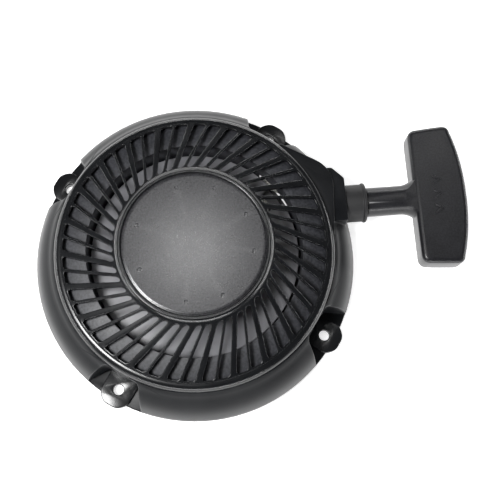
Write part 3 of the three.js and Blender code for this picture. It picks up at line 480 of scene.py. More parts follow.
def braided_rope(name, plait_mm=2.6, strands=8):
    """Braided polyester starter cord: off-white plaits crossing in a diamond pattern, with painted shade in
    the hollows between them, and a dark tracer.

    The piece's own UV map runs u along the rope in millimetres and v once round it.
    """
    material, tree, shader, place = new_finish(name)
    split = add_node(tree, "ShaderNodeSeparateXYZ", Vector=(place, "UV"))
    waves = []
    for sign in (1, -1):
        along = maths(tree, "MULTIPLY", split.outputs["X"], times=math.pi / plait_mm)
        around = maths(tree, "MULTIPLY", split.outputs["Y"], times=sign * math.pi * strands)
        wave = maths(tree, "SINE", maths(tree, "ADD", along, around))
        waves.append(maths(tree, "ABSOLUTE", wave))
    height = maths(tree, "MULTIPLY", *waves).node
    # Painted shade: the ramp turns the hollows between the plaits grey and leaves their crowns off-white.
    tone = add_node(tree, "ShaderNodeValToRGB", Fac=(height, 0))
    ramp_colors(tone, [(0.0, "#55554f"), (0.25, "#c9c9c2"), (0.7, "#f4f4ee")])
    fleck = toned(tree, noise(tree, place, 3.0, 1.0), [(0.60, "#000000"), (0.66, "#ffffff")])
    mixed = mixed_colors(tree, tone, None)
    tree.links.new(fleck.outputs["Color"], mixed.inputs[0])
    mixed.inputs[7].default_value = linear("#2a2a2c")
    tree.links.new(mixed.outputs[2], shader.inputs["Base Color"])
    bumped(tree, shader, height, 0.9, 0.35)
    shader.inputs["Roughness"].default_value = 0.85
    shader.inputs["Sheen Weight"].default_value = 0.2
    return material


# The grille is glass-filled nylon, coloured black: low satin gloss with a clear grain.
black_nylon = moulded_nylon("black_moulded_nylon", "#0c0d0f", "#121315", 0.24, gloss_spread=0.05, level=0.4)
# The skirt is the same nylon off a duller part of the mould.
skirt_nylon = moulded_nylon("skirt_moulded_nylon", "#101113", "#17181a", 0.32, level=0.09)
# The top disc is spark-eroded, with fine flecks in its grain; the grey bloom of light it scatters is
# painted in as a lighter base colour than the black nylon's.
eroded_disc_painted_bloom = moulded_nylon("spark_eroded_disc", "#232325", "#2c2c2e", 0.25, grain_mm=1.1, grain_depth=0.03,
                            gloss_spread=0.03, speck=("#1b1b1d", "#434346", 0.45), level=0.6)
# The pull grip is a softer black polypropylene, polished by hands.
grip_plastic = moulded_nylon("grip_polypropylene", "#121214", "#19191c", 0.32, grain_mm=1.0,
                             grain_depth=0.05, ior=1.49, speck=("#0d0d0f", "#2c2c30", 0.35), level=0.4)
# The bush is nitrile rubber, nearly matt.
bush_rubber = moulded_nylon("nitrile_bush", "#0e0e10", "#161618", 0.62, grain_mm=0.6, ior=1.5)
# The pulley is natural acetal, a light grey with a waxy gloss.
pale_acetal = moulded_nylon("grey_acetal", "#727276", "#88888c", 0.32, grain_mm=1.2, ior=1.48,
                            mottle_mm=22.0)
# The screen ring is dark grey polyamide with a stippled deck.
screen_nylon = moulded_nylon("stippled_screen_nylon", "#242529", "#303136", 0.52, grain_mm=1.3,
                             grain_depth=0.12, speck=("#18191c", "#47484d", 0.5))
# The drive plate is a plain black nylon.
plate_nylon = moulded_nylon("drive_plate_nylon", "#1c1d20", "#26272b", 0.45)
# Screw, washers, pawls, liner and spring keeper are zinc-plated steel.
zinc_steel = plated_steel("zinc_plated_steel", "#a6a9ad", "#c6c9cc", 0.34)
# The springs are blued strip and wire.
blue_steel = plated_steel("blued_spring_steel", "#3c4149", "#565c66", 0.30)
# The insert is turned brass.
turned_brass = plated_steel("turned_brass", "#a8853a", "#c7a24d", 0.30)
# The rope is a braid of polyester.
rope_braid = braided_rope("braided_polyester")

# --------------------------------------------------
# Camera and lights
# --------------------------------------------------

camera_data = bpy.data.cameras.new("camera")
camera_data.sensor_width = 36.0
camera_data.lens = 69.61
camera_data.clip_start = 0.01
camera_data.clip_end = 90.0
camera = bpy.data.objects.new("camera", camera_data)
camera.location = (0.014638, -0.122820, 0.587554)
camera.rotation_euler = (math.radians(12.593), math.radians(-1.8235), 0)
bpy.context.scene.collection.objects.link(camera)
bpy.context.scene.camera = camera


def soft_light(name, place, aim, width, height, power):
    """A rectangular softbox: place and aim in metres, power in watts."""
    data = bpy.data.lights.new(name, "AREA")
    data.shape = "RECTANGLE"
    data.size = width
    data.size_y = height
    data.energy = power
    lamp = bpy.data.objects.new(name, data)
    lamp.location = place
    lamp.rotation_euler = (Vector(aim) - Vector(place)).to_track_quat("-Z", "Y").to_euler()
    bpy.context.scene.collection.objects.link(lamp)


soft_light("key_softbox", (-0.36, -0.16, 0.85), (0.0, 0.0, 0.03), 0.24, 0.24, 10.0)
soft_light("disc_softbox", (-0.03, 0.21, 1.03), (0.0, 0.0, 0.05), 0.08, 0.08, 0.75)
soft_light("grip_softbox", (0.31, 0.42, 0.96), (0.13, 0.06, 0.03), 0.14, 0.14, 0.5)
# Low strips all round draw the bright lines along the slots' rounded rims.
soft_light("left_strip", (-0.85, 0.0, 0.17), (0.0, 0.0, 0.03), 1.1, 0.05, 4.5)
soft_light("back_strip", (0.0, 0.85, 0.17), (0.0, 0.0, 0.03), 1.1, 0.05, 3.6)
soft_light("right_strip", (0.90, 0.0, 0.17), (0.05, 0.0, 0.03), 1.1, 0.05, 4.8)
soft_light("front_strip", (0.0, -0.85, 0.17), (0.0, 0.0, 0.03), 1.1, 0.05, 4.8)

world = bpy.data.worlds.new("studio")
world.use_nodes = True
world.node_tree.nodes["Background"].inputs["Color"].default_value = linear("#f4f5f7")
world.node_tree.nodes["Background"].inputs["Strength"].default_value = 0.07
bpy.context.scene.world = world
bpy.context.scene.view_settings.view_transform = "Standard"

# --------------------------------------------------
# Housing: grille, disc, skirt, ears
# --------------------------------------------------


def housing_piece(name, work, finish, sharp):
    """A piece of the black housing moulding."""
    return finished(name, work, finish, "housing", ["starter_housing"], sharp=sharp)


SLOT_START_X = math.sqrt(SLOPE_START ** 2 - SLOT_LEAN ** 2)
SLOT_END_X = math.sqrt(SLOT_OUTER_RADIUS ** 2 - SLOT_LEAN ** 2)
SLOT_LEAD = math.atan2(SLOT_LEAN, SLOT_END_X)
COLLAR_DIP = 0.08
BAR_ROWS = 9
RIM_ROWS = 8
# The dome's lower edge sits just inside the skirt's face.
RIM_SEAT = RIM_RADIUS - 0.02
# The housing's skins overlap by this much.
LAP = 1.2


def slot_half(radius):
    """Half the width of a slot at a radius, with its ends rounded."""
    x = math.sqrt(max(radius ** 2 - SLOT_LEAN ** 2, 1.0))
    share = (x - SLOT_START_X) / (SLOT_END_X - SLOT_START_X)
    half = SLOT_INNER_HALF + (SLOT_OUTER_HALF - SLOT_INNER_HALF) * share
    from_inner = radius - SLOT_INNER_RADIUS
    from_outer = SLOT_OUTER_RADIUS - radius
    if from_inner < half:
        half = math.sqrt(max(half ** 2 - (half - max(from_inner, 0.12)) ** 2, 0.01))
    if from_outer < SLOT_CORNER:
        rest = SLOT_CORNER - max(from_outer, 0.06)
        half -= SLOT_CORNER - math.sqrt(SLOT_CORNER ** 2 - rest ** 2)
    return half


def slot_angle(radius, side):
    """Angle of a slot's edge (side -1 or 1) from the slot's own angle."""
    y = SLOT_LEAN + side * slot_half(radius)
    return math.asin(min(y / radius, 1.0)) - SLOT_LEAD


def middle_angle(radius):
    """Angle of a slot's middle line from the slot's own angle."""
    return math.asin(SLOT_LEAN / max(radius, SLOT_LEAN + 1)) - SLOT_LEAD


def grille_height(radius):
    """Outside height of the dome from the collar to the bottom of the rim."""
    fall = (SLOT_INNER_HEIGHT - SLOT_OUTER_HEIGHT) / (SLOT_OUTER_RADIUS - SLOPE_START)
    if radius <= COLLAR_FOOT:
        share = (radius - COLLAR_RADIUS) / (COLLAR_FOOT - COLLAR_RADIUS)
        top = SLOT_INNER_HEIGHT + fall * (SLOPE_START - COLLAR_FOOT)
        return TOP - GROOVE_DEPTH + (top - TOP + GROOVE_DEPTH) * share
    return SLOT_INNER_HEIGHT - (radius - SLOPE_START) * fall


def grille_rows():
    """Rows of (radius, height) from the disc's groove to the lower edge of the rim."""
    edge = DISC_RADIUS + GROOVE_WIDTH
    rows = [(edge, TOP - GROOVE_DEPTH - LAP), (edge, TOP - 0.25), (edge + 0.2, TOP - 0.06)]
    rows.append((edge + 0.55, TOP))
    for radius in (42.6, 43.1, 43.6, 44.2, COLLAR_FOOT):
        dip = COLLAR_DIP * (COLLAR_FOOT - radius)
        rows.append((radius, grille_height(max(radius, COLLAR_RADIUS)) - dip))
    inner_ends = (0, 20, 40, 60, 90)
    outer_ends = (30, 60, 90)
    radii = [SLOT_INNER_RADIUS + SLOT_INNER_HALF * (1 - math.cos(math.radians(a))) for a in inner_ends]
    straight = (SLOT_OUTER_RADIUS - SLOT_CORNER - radii[-1]) / BAR_ROWS
    radii += [radii[-1] + straight * i for i in range(1, BAR_ROWS + 1)]
    radii += [SLOT_OUTER_RADIUS - SLOT_CORNER * (1 - math.sin(math.radians(a))) for a in outer_ends]
    radii.append(SLOT_FIELD_RADIUS - 0.5)
    rows += [(radius, grille_height(radius)) for radius in radii]
    for i in range(RIM_ROWS + 1):
        turn = math.pi / 2 * i / RIM_ROWS
        rows.append((RIM_SEAT - RIM_ROUND * (1 - math.sin(turn)), RIM_HEIGHT + RIM_ROUND * math.cos(turn)))
    rows.append((RIM_SEAT, RIM_HEIGHT - 1.0))
    return rows


def slot_sector(rows):
    """One sector of the dome's outside, with the openings of its two leaning slots left out."""
    pitch = 2 * math.pi / SLOT_PAIRS
    columns = 7
    slot_columns = (1, 4)
    work = bmesh.new()
    made = bmesh.ops.create_grid(work, x_segments=columns, y_segments=len(rows) - 1, size=0.5)
    cells = {}
    for vert in made["verts"]:
        i = round((vert.co.x + 0.5) * columns)
        j = round((vert.co.y + 0.5) * (len(rows) - 1))
        cells[vert] = (i, j)
        radius, height = rows[j]
        first, second = -SLOT_SPREAD / 2, SLOT_SPREAD / 2
        slot_radius = min(max(radius, SLOT_INNER_RADIUS), SLOT_OUTER_RADIUS)
        drift = middle_angle(slot_radius)
        low_edge = slot_angle(slot_radius, -1)
        high_edge = slot_angle(slot_radius, 1)
        angle = SLOT_PHASE + (
            -pitch / 2 + drift,
            first + low_edge,
            first + high_edge,
            drift,
            second + low_edge,
            second + high_edge,
            (second + high_edge + pitch / 2 + drift) / 2,
            pitch / 2 + drift,
        )[i]
        vert.co = (radius * math.cos(angle), radius * math.sin(angle), height)
    start = next(j for j, row in enumerate(rows) if abs(row[0] - SLOT_INNER_RADIUS) < TINY)
    stop = next(j for j, row in enumerate(rows) if abs(row[0] - SLOT_OUTER_RADIUS) < TINY)
    holes = []
    for face in work.faces:
        column = min(cells[v][0] for v in face.verts)
        row = min(cells[v][1] for v in face.verts)
        if column in slot_columns and start <= row < stop:
            holes.append(face)
    bmesh.ops.delete(work, geom=holes, context="FACES")
    return work


def thickened(work):
    """Gives the dome its wall: straight down under the slots, and inwards round the rim."""
    made = bmesh.ops.extrude_face_region(work, geom=list(work.faces), use_keep_orig=True)
    for vert in [v for v in made["geom"] if isinstance(v, bmesh.types.BMVert)]:
        radius = math.hypot(vert.co.x, vert.co.y)
        shrink, drop = 1, WALL
        if radius > SLOT_FIELD_RADIUS + 0.1:
            turn = max((RIM_RADIUS - radius) / RIM_ROUND, 0)
            shrink = (radius - WALL * (1 - 0.6 * turn)) / radius
            drop = WALL * (0.4 + 0.6 * turn)
        vert.co.x *= shrink
        vert.co.y *= shrink
        vert.co.z -= drop
    bmesh.ops.recalc_face_normals(work, faces=work.faces)
    work.normal_update()
    return work


def slot_rims(work):
    """The upper edges of the slots' walls."""
    margin = 0.6
    edges = []
    for edge in sharp_edges(work, 50):
        middle = (edge.verts[0].co + edge.verts[1].co) / 2
        radius = math.hypot(middle.x, middle.y)
        if SLOT_INNER_RADIUS - margin < radius < SLOT_OUTER_RADIUS + margin:
            if middle.z > grille_height(radius) - 1.0:
                edges.append(edge)
    return edges


def grille():
    """The vented dome: one sector with two leaning slots, repeated round the axis."""
    work = slot_sector(grille_rows())
    bmesh.ops.spin(
        work,
        geom=list(work.verts) + list(work.edges) + list(work.faces),
        cent=(0, 0, 0),
        axis=(0, 0, 1),
        dvec=(0, 0, 0),
        angle=2 * math.pi * (SLOT_PAIRS - 1) / SLOT_PAIRS,
        steps=SLOT_PAIRS - 1,
        use_duplicate=True,
    )
    bmesh.ops.remove_doubles(work, verts=work.verts, dist=0.002)
    bmesh.ops.recalc_face_normals(work, faces=work.faces)
    if sum(face.normal.z for face in work.faces) < 0:
        bmesh.ops.reverse_faces(work, faces=work.faces)
    thickened(work)
    bevelled(work, slot_rims(work), SLOT_EDGE, 3)
    housing_piece("housing_grille", work, black_nylon, 40)


PIN_MARK_ANGLES = (108, 71, 30, -7, -61, -97, -153, 163)
PIN_MARK_CIRCLE = 34
PIN_MARK = [(0, -0.35), (0.9, -0.3), (1.35, 0.0), (1.6, 0.3), (0, 0.3)]


def disc():
    """The flat top disc with its groove and the shallow marks of the mould's ejector pins."""
    edge = DISC_RADIUS + GROOVE_WIDTH + 0.3
    profile = [
        (0, TOP - WALL),
        (edge, TOP - WALL),
        (edge, TOP - GROOVE_DEPTH - 0.4),
        (DISC_RADIUS + GROOVE_WIDTH / 2, TOP - GROOVE_DEPTH - 0.1),
        (DISC_RADIUS + 0.05, TOP - GROOVE_DEPTH),
        (DISC_RADIUS, TOP - 0.3),
        (DISC_RADIUS - 0.1, TOP - 0.1),
        (DISC_RADIUS - 0.35, TOP),
        (DISC_RADIUS - 1.3, TOP + 0.02),
        (0, TOP),
    ]
    marks = []
    for angle in PIN_MARK_ANGLES:
        turn = math.radians(angle)
        spot = Vector((PIN_MARK_CIRCLE * math.cos(turn), PIN_MARK_CIRCLE * math.sin(turn), TOP))
        mark = moved(lathe(PIN_MARK, 20, closed=False), Matrix.Translation(spot))
        marks.append(("DIFFERENCE", mark))
    work = combined(lathe(profile, 160, closed=False), marks)
    housing_piece("housing_disc", work, eroded_disc_painted_bloom, 25)


def skirt_profile(inset=0.0):
    """The skirt's outside from the rim down, or a line that lies inside it by an inset."""
    points = [(RIM_RADIUS, RIM_HEIGHT)]
    step_rows, skirt_rows = 4, 10
    for i in range(1, step_rows + 1):
        share = i / step_rows
        bulge = 0.5 * math.sin(math.pi * share)
        points.append((RIM_RADIUS + (STEP_RADIUS - RIM_RADIUS) * share,
                       RIM_HEIGHT + (STEP_HEIGHT - RIM_HEIGHT) * share + bulge))
    for i in range(1, skirt_rows + 1):
        share = i / skirt_rows
        bulge = SKIRT_BULGE * math.sin(math.pi * share)
        points.append((STEP_RADIUS + (SKIRT_RADIUS - STEP_RADIUS) * share + bulge / 2,
                       STEP_HEIGHT + (SKIRT_EDGE - STEP_HEIGHT) * share + bulge))
    points += [(SKIRT_RADIUS, SKIRT_EDGE / 2), (SKIRT_RADIUS, 0)]
    if not inset:
        return points
    line = []
    for i, (radius, height) in enumerate(points):
        r0, z0 = points[max(i - 1, 0)]
        r1, z1 = points[min(i + 1, len(points) - 1)]
        along = Vector((r1 - r0, z1 - z0)).normalized()
        line.append((radius + along.y * inset, height - along.x * inset))
    return line


def nose_outline(inset):
    """Plan of the flat-sided nose that runs from the rim to the rope's exit."""
    radius = RIM_RADIUS - inset
    tangent = (radius * math.cos(NOSE_NORMAL), radius * math.sin(NOSE_NORMAL))
    corner = (radius - radius * math.cos(NOSE_NORMAL)) / math.sin(NOSE_NORMAL)
    return rounded([(20, 10, 0), (radius, 0, 0), (radius, corner, NOSE_CORNER), (*tangent, 0)], 0, steps=10)


def recess_cut(margin, bottom, top):
    """What is taken out of the skirt round an ear. It widens outwards."""
    past = 8
    inner = RIM_RADIUS - margin
    outer = EAR_TIP + past
    half = RECESS_HALVES[0] + margin
    spread = (RECESS_HALVES[1] - RECESS_HALVES[0]) / (EAR_TIP - RIM_RADIUS)
    wide = RECESS_HALVES[1] + margin + past * spread
    outline = [(inner, -half, CORNER), (outer, -wide, 0), (outer, wide, 0), (inner, half, CORNER)]
    return prism(rounded(outline, 0), bottom, top)


def ear_solid():
    """A bolt ear with chamfered corners, on the +X side."""
    root = RIM_RADIUS - 2 * WALL
    outline = rounded([
        (root, -EAR_HALF, 0),
        (EAR_TIP - EAR_CHAMFER, -EAR_HALF, CORNER),
        (EAR_TIP, -EAR_HALF + EAR_CHAMFER, CORNER),
        (EAR_TIP, EAR_HALF - EAR_CHAMFER, CORNER),
        (EAR_TIP - EAR_CHAMFER, EAR_HALF, CORNER),
        (root, EAR_HALF, 0),
    ], 0)
    return prism(outline, 0, EAR_THICKNESS)


def hole_cut():
    """The bolt hole of the ear on the +X side."""
    return moved(drum(EAR_HOLE, -2.0, TOP, 32), Matrix.Translation((EAR_PITCH, 0, 0)))


def block_solid():
    """The block that the guide bush sits in."""
    low, high = -BLOCK_HALF, BLOCK_HALF
    outline = rounded([
        (-BLOCK_INSET, low, 0),
        (0, low, 1),
        (0, high, 1),
        (-BLOCK_CHAMFER, high + BLOCK_CHAMFER, 1),
        (-BLOCK_INSET, high + BLOCK_CHAMFER, 0),
    ], 0, steps=3)
    work = prism(outline, ROPE_HEIGHT - BLOCK_HALF, ROPE_HEIGHT + BLOCK_HALF)
    return moved(work, Matrix.Translation((EXIT.x, EXIT.y, 0)) @ Matrix.Rotation(PULL_ANGLE, 4, "Z"))


def skirt():
    """Skirt, nose, rope exit block and recesses, as one moulding, and the four ears."""
    steps = 96
    below = -2
    lapped = RIM_HEIGHT - LAP
    base = lathe([(70, 0), (70, lapped), (RIM_RADIUS - LAP, lapped)] + skirt_profile(), steps)
    solids = [("UNION", prism(nose_outline(0), 0, RIM_HEIGHT)), ("UNION", block_solid())]
    solids += [("DIFFERENCE", spun(recess_cut(0, RECESS_FLOOR, TOP), a)) for a in EAR_ANGLES]
    solids += [("DIFFERENCE", spun(hole_cut(), a)) for a in EAR_ANGLES]
    whole = combined(base, solids)
    inner = skirt_profile(WALL)
    inner[-1] = (inner[-1][0], below)
    hollow_top = RIM_HEIGHT + 1
    hollow = lathe([(0, hollow_top), (inner[0][0], hollow_top)] + inner + [(0, below)], steps, closed=False)
    cuts = [("UNION", prism(nose_outline(WALL), below, RIM_HEIGHT - WALL))]
    cuts += [("DIFFERENCE", spun(recess_cut(WALL, below - 1, TOP), a)) for a in EAR_ANGLES]
    shell = combined(whole, [("DIFFERENCE", combined(hollow, cuts))])
    housing_piece("housing_skirt", softened(shell, 0.7, 40), skirt_nylon, 38)
    for letter, angle in zip("abcd", EAR_ANGLES):
        ear = softened(combined(ear_solid(), [("DIFFERENCE", hole_cut())]), 0.5, 50)
        housing_piece(f"housing_ear_{letter}", spun(ear, angle), black_nylon, 38)


def post():
    """Pulley post with the ribs under the disc, drilled for the screw and its insert."""
    tip = 5.8
    under, middle = TOP - WALL, TOP - WALL / 2
    profile = [
        (0, tip), (6, tip), (6, 11.1), (POST_RADIUS, 11.1), (POST_RADIUS, under - 6), (9.5, under - 3),
        (13, under), (13, middle), (0, middle),
    ]
    steps = []
    for i in range(RIB_COUNT):
        rib = prism([(7, -1), (DISC_RADIUS, -1), (DISC_RADIUS, 1), (7, 1)], under - 5, middle)
        steps.append(("UNION", spun(rib, 360 / RIB_COUNT * i)))
    steps.append(("DIFFERENCE", drum(SCREW_RADIUS + GAP, 2, 22, 32)))
    steps.append(("DIFFERENCE", drum(INSERT_RADIUS + GAP, 2, 18.1, 32)))
    work = softened(combined(lathe(profile, 64, closed=False), steps), 0.3, 50, 2)
    housing_piece("housing_post", work, black_nylon, 38)


grille()
disc()
skirt()
post()

# --------------------------------------------------
# Rope guide, screen ring
# --------------------------------------------------


def rope_guide():
    """The bush round the rope, with a lip at its mouth and a spigot in the block."""
    bore = ROPE_RADIUS + LINER_FLANGE
    start = -GUIDE_LENGTH - BLOCK_INSET + WALL
    face = GAP - GUIDE_LENGTH
    profile = rounded([
        (bore, start, 0.3), (7.5, start, 0.3), (7.5, face, 0.2), (11.4, face, 0.3), (11.4, -2.4, 0.4),
        (12.1, -1.9, 0.4), (12.1, -0.6, 0.8), (11.2, 0, 0.6), (bore + 1.5, 0, 1.5), (bore, -1.5, 1.0),
    ], 0, steps=4)
    work = moved(lathe(profile, 72), along_pull())
    finished("rope_guide_bush", work, bush_rubber, "housing", ["rope_guide"])


def screen_ring():
    """Outer deck with the wall and lip that keep the rope on the pulley, and a way for the rope."""
    inner = PULLEY_RADIUS + SCREEN_CLEARANCE
    outer = box_of("screen_ring")[1].x
    lip = inner - 6
    lip_top = WEB_BOTTOM - SCREEN_CLEARANCE / 2
    lip_bottom = lip_top - SCREEN_THICKNESS
    wall = inner + SCREEN_THICKNESS
    profile = rounded([
        (lip, lip_bottom), (wall, lip_bottom), (wall, 38.0), (outer, 33.0), (outer, 34.2), (inner, 39.2),
        (inner, lip_top), (lip, lip_top),
    ], 0.35, steps=2)
    way_start, way_end, way_steps = math.radians(26), math.radians(53), 8
    reach = wall + 1
    outline = [(10, 6)]
    for i in range(way_steps + 1):
        angle = way_start + (way_end - way_start) * i / way_steps
        outline.append((reach * math.cos(angle), reach * math.sin(angle)))
    way = prism(outline, ROPE_HEIGHT - 2 * ROPE_RADIUS, ROPE_HEIGHT + 2 * ROPE_RADIUS)
    work = combined(lathe(profile, 160), [("DIFFERENCE", way)])
    finished("screen_deck", work, screen_nylon, "housing", ["screen_ring"])


rope_guide()
screen_ring()

# --------------------------------------------------
# Pulley, rope and knots
# --------------------------------------------------


def pulley():
    """Rope wheel with its groove, the cup for the spring, the pins for the pawls and a notch."""
    bore, hub = POST_RADIUS + GAP, 11.5
    cup_inner = DRUM_RADIUS - DRUM_WALL
    cup_outer = cup_inner + CUP_WALL
    hub_low = WEB_BOTTOM - 2.6
    groove_low = WEB_BOTTOM + FLANGE
    groove_high = groove_low + GROOVE
    cup_top = WEB_TOP + CUP_HEIGHT
    profile = rounded([
        (bore, hub_low), (hub, hub_low), (hub, WEB_BOTTOM, 0), (PULLEY_RADIUS, WEB_BOTTOM),
        (PULLEY_RADIUS, groove_low), (DRUM_RADIUS, groove_low, 0), (DRUM_RADIUS, groove_high, 0),
        (PULLEY_RADIUS, groove_high), (PULLEY_RADIUS, FLANGE_TOP), (cup_outer, FLANGE_TOP, 1.2),
        (cup_outer, cup_top), (cup_inner, cup_top), (cup_inner, WEB_TOP, 0), (bore, WEB_TOP),
    ], 0.5, steps=3)
    pin_profile = [
        (0, 9.1), (PAWL_PIN - 0.4, 9.1), (PAWL_PIN, 9.5), (PAWL_PIN, WEB_TOP - 0.5), (0, WEB_TOP - 0.5),
    ]
    steps = []
    for place in (PAWL_PITCH, -PAWL_PITCH):
        spot = Matrix.Translation((place, 0, 0))
        pocket = moved(drum(PAWL_EYE, WEB_BOTTOM - 1, WEB_TOP - 1, 40), spot)
        pin = moved(lathe(pin_profile, 32, closed=False), spot)
        steps += [("DIFFERENCE", pocket), ("UNION", pin)]
    floor, mouth, half = PULLEY_RADIUS - 15.6, PULLEY_RADIUS + 15.4, 4.5
    outline = [(floor, -half, CORNER), (mouth, -2 * half, 0), (mouth, 2 * half, 0), (floor, half, CORNER)]
    notch = prism(rounded(outline, 0), groove_high - GAP, FLANGE_TOP + 1)
    steps.append(("DIFFERENCE", spun(notch, NOTCH_ANGLE)))
    work = combined(lathe(profile, 160), steps)
    finished("rope_pulley_moulding", work, pale_acetal, "pulley", ["rope_pulley"])


def rope_tube(name, route, body, replaces, sides=14, radius=ROPE_RADIUS):
    """A round braid along a list of points, with a UV map: u in millimetres along, v once round."""
    work = bmesh.new()
    layer = work.loops.layers.uv.new("braid")
    rings = []
    reached = 0.0
    up = Vector((0, 0, 1))
    for i, point in enumerate(route):
        point = Vector(point)
        ahead = Vector(route[min(i + 1, len(route) - 1)]) - Vector(route[max(i - 1, 0)])
        ahead.normalize()
        side = ahead.cross(up)
        if side.length < 0.2:
            side = ahead.cross(Vector((1, 0, 0)))
        side.normalize()
        over = side.cross(ahead).normalized()
        if i:
            reached += (point - Vector(route[i - 1])).length
        ring = []
        for k in range(sides):
            turn = 2 * math.pi * k / sides
            ring.append(work.verts.new(point + (side * math.cos(turn) + over * math.sin(turn)) * radius))
        rings.append((ring, reached))
    for (a, ua), (b, ub) in zip(rings, rings[1:]):
        for k in range(sides):
            n = (k + 1) % sides
            face = work.faces.new((a[k], a[n], b[n], b[k]))
            for loop, uv in zip(face.loops, ((ua, k), (ua, k + 1), (ub, k + 1), (ub, k))):
                loop[layer].uv = (uv[0], uv[1] / sides)
    for end in (rings[0], rings[-1]):
        work.faces.new(end[0])
    return finished(name, work, rope_braid, body, replaces, sharp=60)


def winding_route():
    """Three turns, one over the other, from the drum outwards."""
    inner = DRUM_RADIUS + GAP + ROPE_RADIUS
    climb_start = 0.15
    steps = 96
    points = []
    for i in range(ROPE_TURNS * steps + 1):
        turn = i / steps
        layers = min(max(turn - climb_start, 0), ROPE_TURNS - 1)
        radius = inner + 2 * ROPE_RADIUS * layers
        angle = math.radians(KNOT_ANGLE) + 2 * math.pi * turn
        points.append((radius * math.cos(angle), radius * math.sin(angle), ROPE_HEIGHT))
    return points


def run_route():
    """From the winding to the guide's mouth: straight, one bend at the liner, straight."""
    bend = EXIT - PULL * (BLOCK_INSET + LINER_FLANGE)
    run = DRUM_RADIUS + GAP + 2 * ROPE_TURNS * ROPE_RADIUS + GAP + ROPE_RADIUS
    leave = math.atan2(bend.y, bend.x) + math.acos(run / math.hypot(bend.x, bend.y))
    start = Vector((run * math.cos(leave), run * math.sin(leave), 0))
    before = bend + (start - bend).normalized() * ROPE_BEND
    after = bend + PULL * 4
    steps = 8
    points = [start.lerp(before, i / steps) for i in range(steps + 1)]
    points += [on_curve(before, bend, after, i / steps) for i in range(1, steps)]
    points += [after.lerp(MOUTH, i / steps) for i in range(steps + 1)]
    return [(p.x, p.y, ROPE_HEIGHT) for p in points]


def overhand(centre, axis, size, name, body, replaces):
    """A drawn-up overhand knot, as one thick trefoil of rope."""
    rise, strand, steps = 1.1, 1.35, 72
    turn = Vector((0, 0, 1)).rotation_difference(Vector(axis)).to_matrix()
    route = []
    for i in range(steps):
        t = 2 * math.pi * i / steps
        loop = Vector((math.sin(t) + 2 * math.sin(2 * t), math.cos(t) - 2 * math.cos(2 * t),
                       -rise * math.sin(3 * t)))
        route.append(Vector(centre) + turn @ (loop * size))
    route.append(route[0])
    rope_tube(name, route, body, replaces, sides=10, radius=size * strand)


pulley()
rope_tube("wound_rope", winding_route(), "pulley", ["rope_winding"])
rope_tube("rope_to_guide", run_route(), "housing", ["rope_run"])
knot_low, knot_high = box_of("pulley_knot")
knot_height = 10.4
overhand(((knot_low.x + knot_high.x) / 2, (knot_low.y + knot_high.y) / 2, knot_height), (0, 0, 1), 1.02,
         "knot_under_pulley", "pulley", ["pulley_knot"])

# --------------------------------------------------
# Drive: plate, pawls, screw and springs
# --------------------------------------------------


def peg_point(swing):
    """Where a pawl's peg is at a swing in degrees, with the pawl's pin on the +X side."""
    arm = Vector((-1.5, -10, 0))
    return Vector((PAWL_PITCH, 0, 0)) + Matrix.Rotation(math.radians(swing), 3, "Z") @ arm


def drive_plate():
    """The plate whose slots swing the pawls as it lags behind the pulley."""
    low, high = box_of("ratchet_plate")
    outer = (high.x - low.x) / 2
    bore = 6.3
    slot_radius, slot_steps = 2.4, 24
    profile = rounded([(bore, low.z), (outer, low.z), (outer, high.z), (bore, high.z)], 0.4, steps=3)
    steps = []
    for turn in (0, 180):
        for i in range(slot_steps + 1):
            share = i / slot_steps
            lag = Matrix.Rotation(math.radians(turn - PLATE_LAG * share), 3, "Z")
            spot = lag @ peg_point(PAWL_SWING * share)
            cut = moved(drum(slot_radius, 0, 12, 28), Matrix.Translation((spot.x, spot.y, 0)))
            steps.append(("DIFFERENCE", cut))
    work = softened(combined(lathe(profile, 128), steps), 0.3, 60, 2)
    finished("drive_plate", work, plate_nylon, "plate", ["ratchet_plate"])


def pawl(letter, turn):
    """A pawl: an eye on the pulley's pin, a curved arm and a peg in the plate's slot."""
    low = box_of(f"pawl_{letter}")[0]
    bottom, top = 9.4, 13.1
    outline = rounded([
        (-PAWL_EYE, 0, 0), (-4.4, -10, 3), (-PAWL_EYE, -20, 1.5), (-0.4, -21.5, 0.6), (3.6, -10, 3),
        (PAWL_EYE, 0, 0),
    ], 0)
    eye = drum(PAWL_EYE, bottom, top, 40)
    peg_profile = [(0, low.z), (1.2, low.z), (1.5, low.z + 0.3), (1.5, top - 1), (0, top - 1)]
    peg = lathe(peg_profile, 24, closed=False)
    hole = drum(PAWL_PIN + GAP, 0, 20, 32)
    spot = peg_point(0) - Vector((PAWL_PITCH, 0, 0))
    work = combined(prism(outline, bottom, top), [
        ("UNION", eye), ("UNION", moved(peg, Matrix.Translation(spot))), ("DIFFERENCE", hole),
    ])
    softened(work, 0.25, 50, 2)
    moved(work, Matrix.Rotation(math.radians(turn), 4, "Z") @ Matrix.Translation((PAWL_PITCH, 0, 0)))
    body = f"pawl_{letter}"
    finished(f"pawl_stamping_{letter}", work, zinc_steel, body, [body])


def screw():
    """The flanged hexagon screw that holds the drive on its post."""
    corners = [math.pi / 3 * i for i in range(6)]
    hexagon = [(HEAD_RADIUS * math.cos(a), HEAD_RADIUS * math.sin(a)) for a in corners]
    head = softened(prism(hexagon, 0, 3.4), 0.35, 50, 2)
    collar = rounded([(0, 2.8, 0), (SCREW_FLANGE, 2.8), (SCREW_FLANGE, 4), (0, 4, 0)], 0.3, steps=3)
    end = [(0, 3), (SCREW_RADIUS, 3), (SCREW_RADIUS, 17.6), (SCREW_RADIUS - 0.4, 18), (0, 18)]
    work = combined(lathe(collar, 48, closed=False), [
        ("UNION", lathe(end, 24, closed=False)), ("UNION", head),
    ])
    finished("hex_flange_screw", work, zinc_steel, "housing", ["center_screw"])


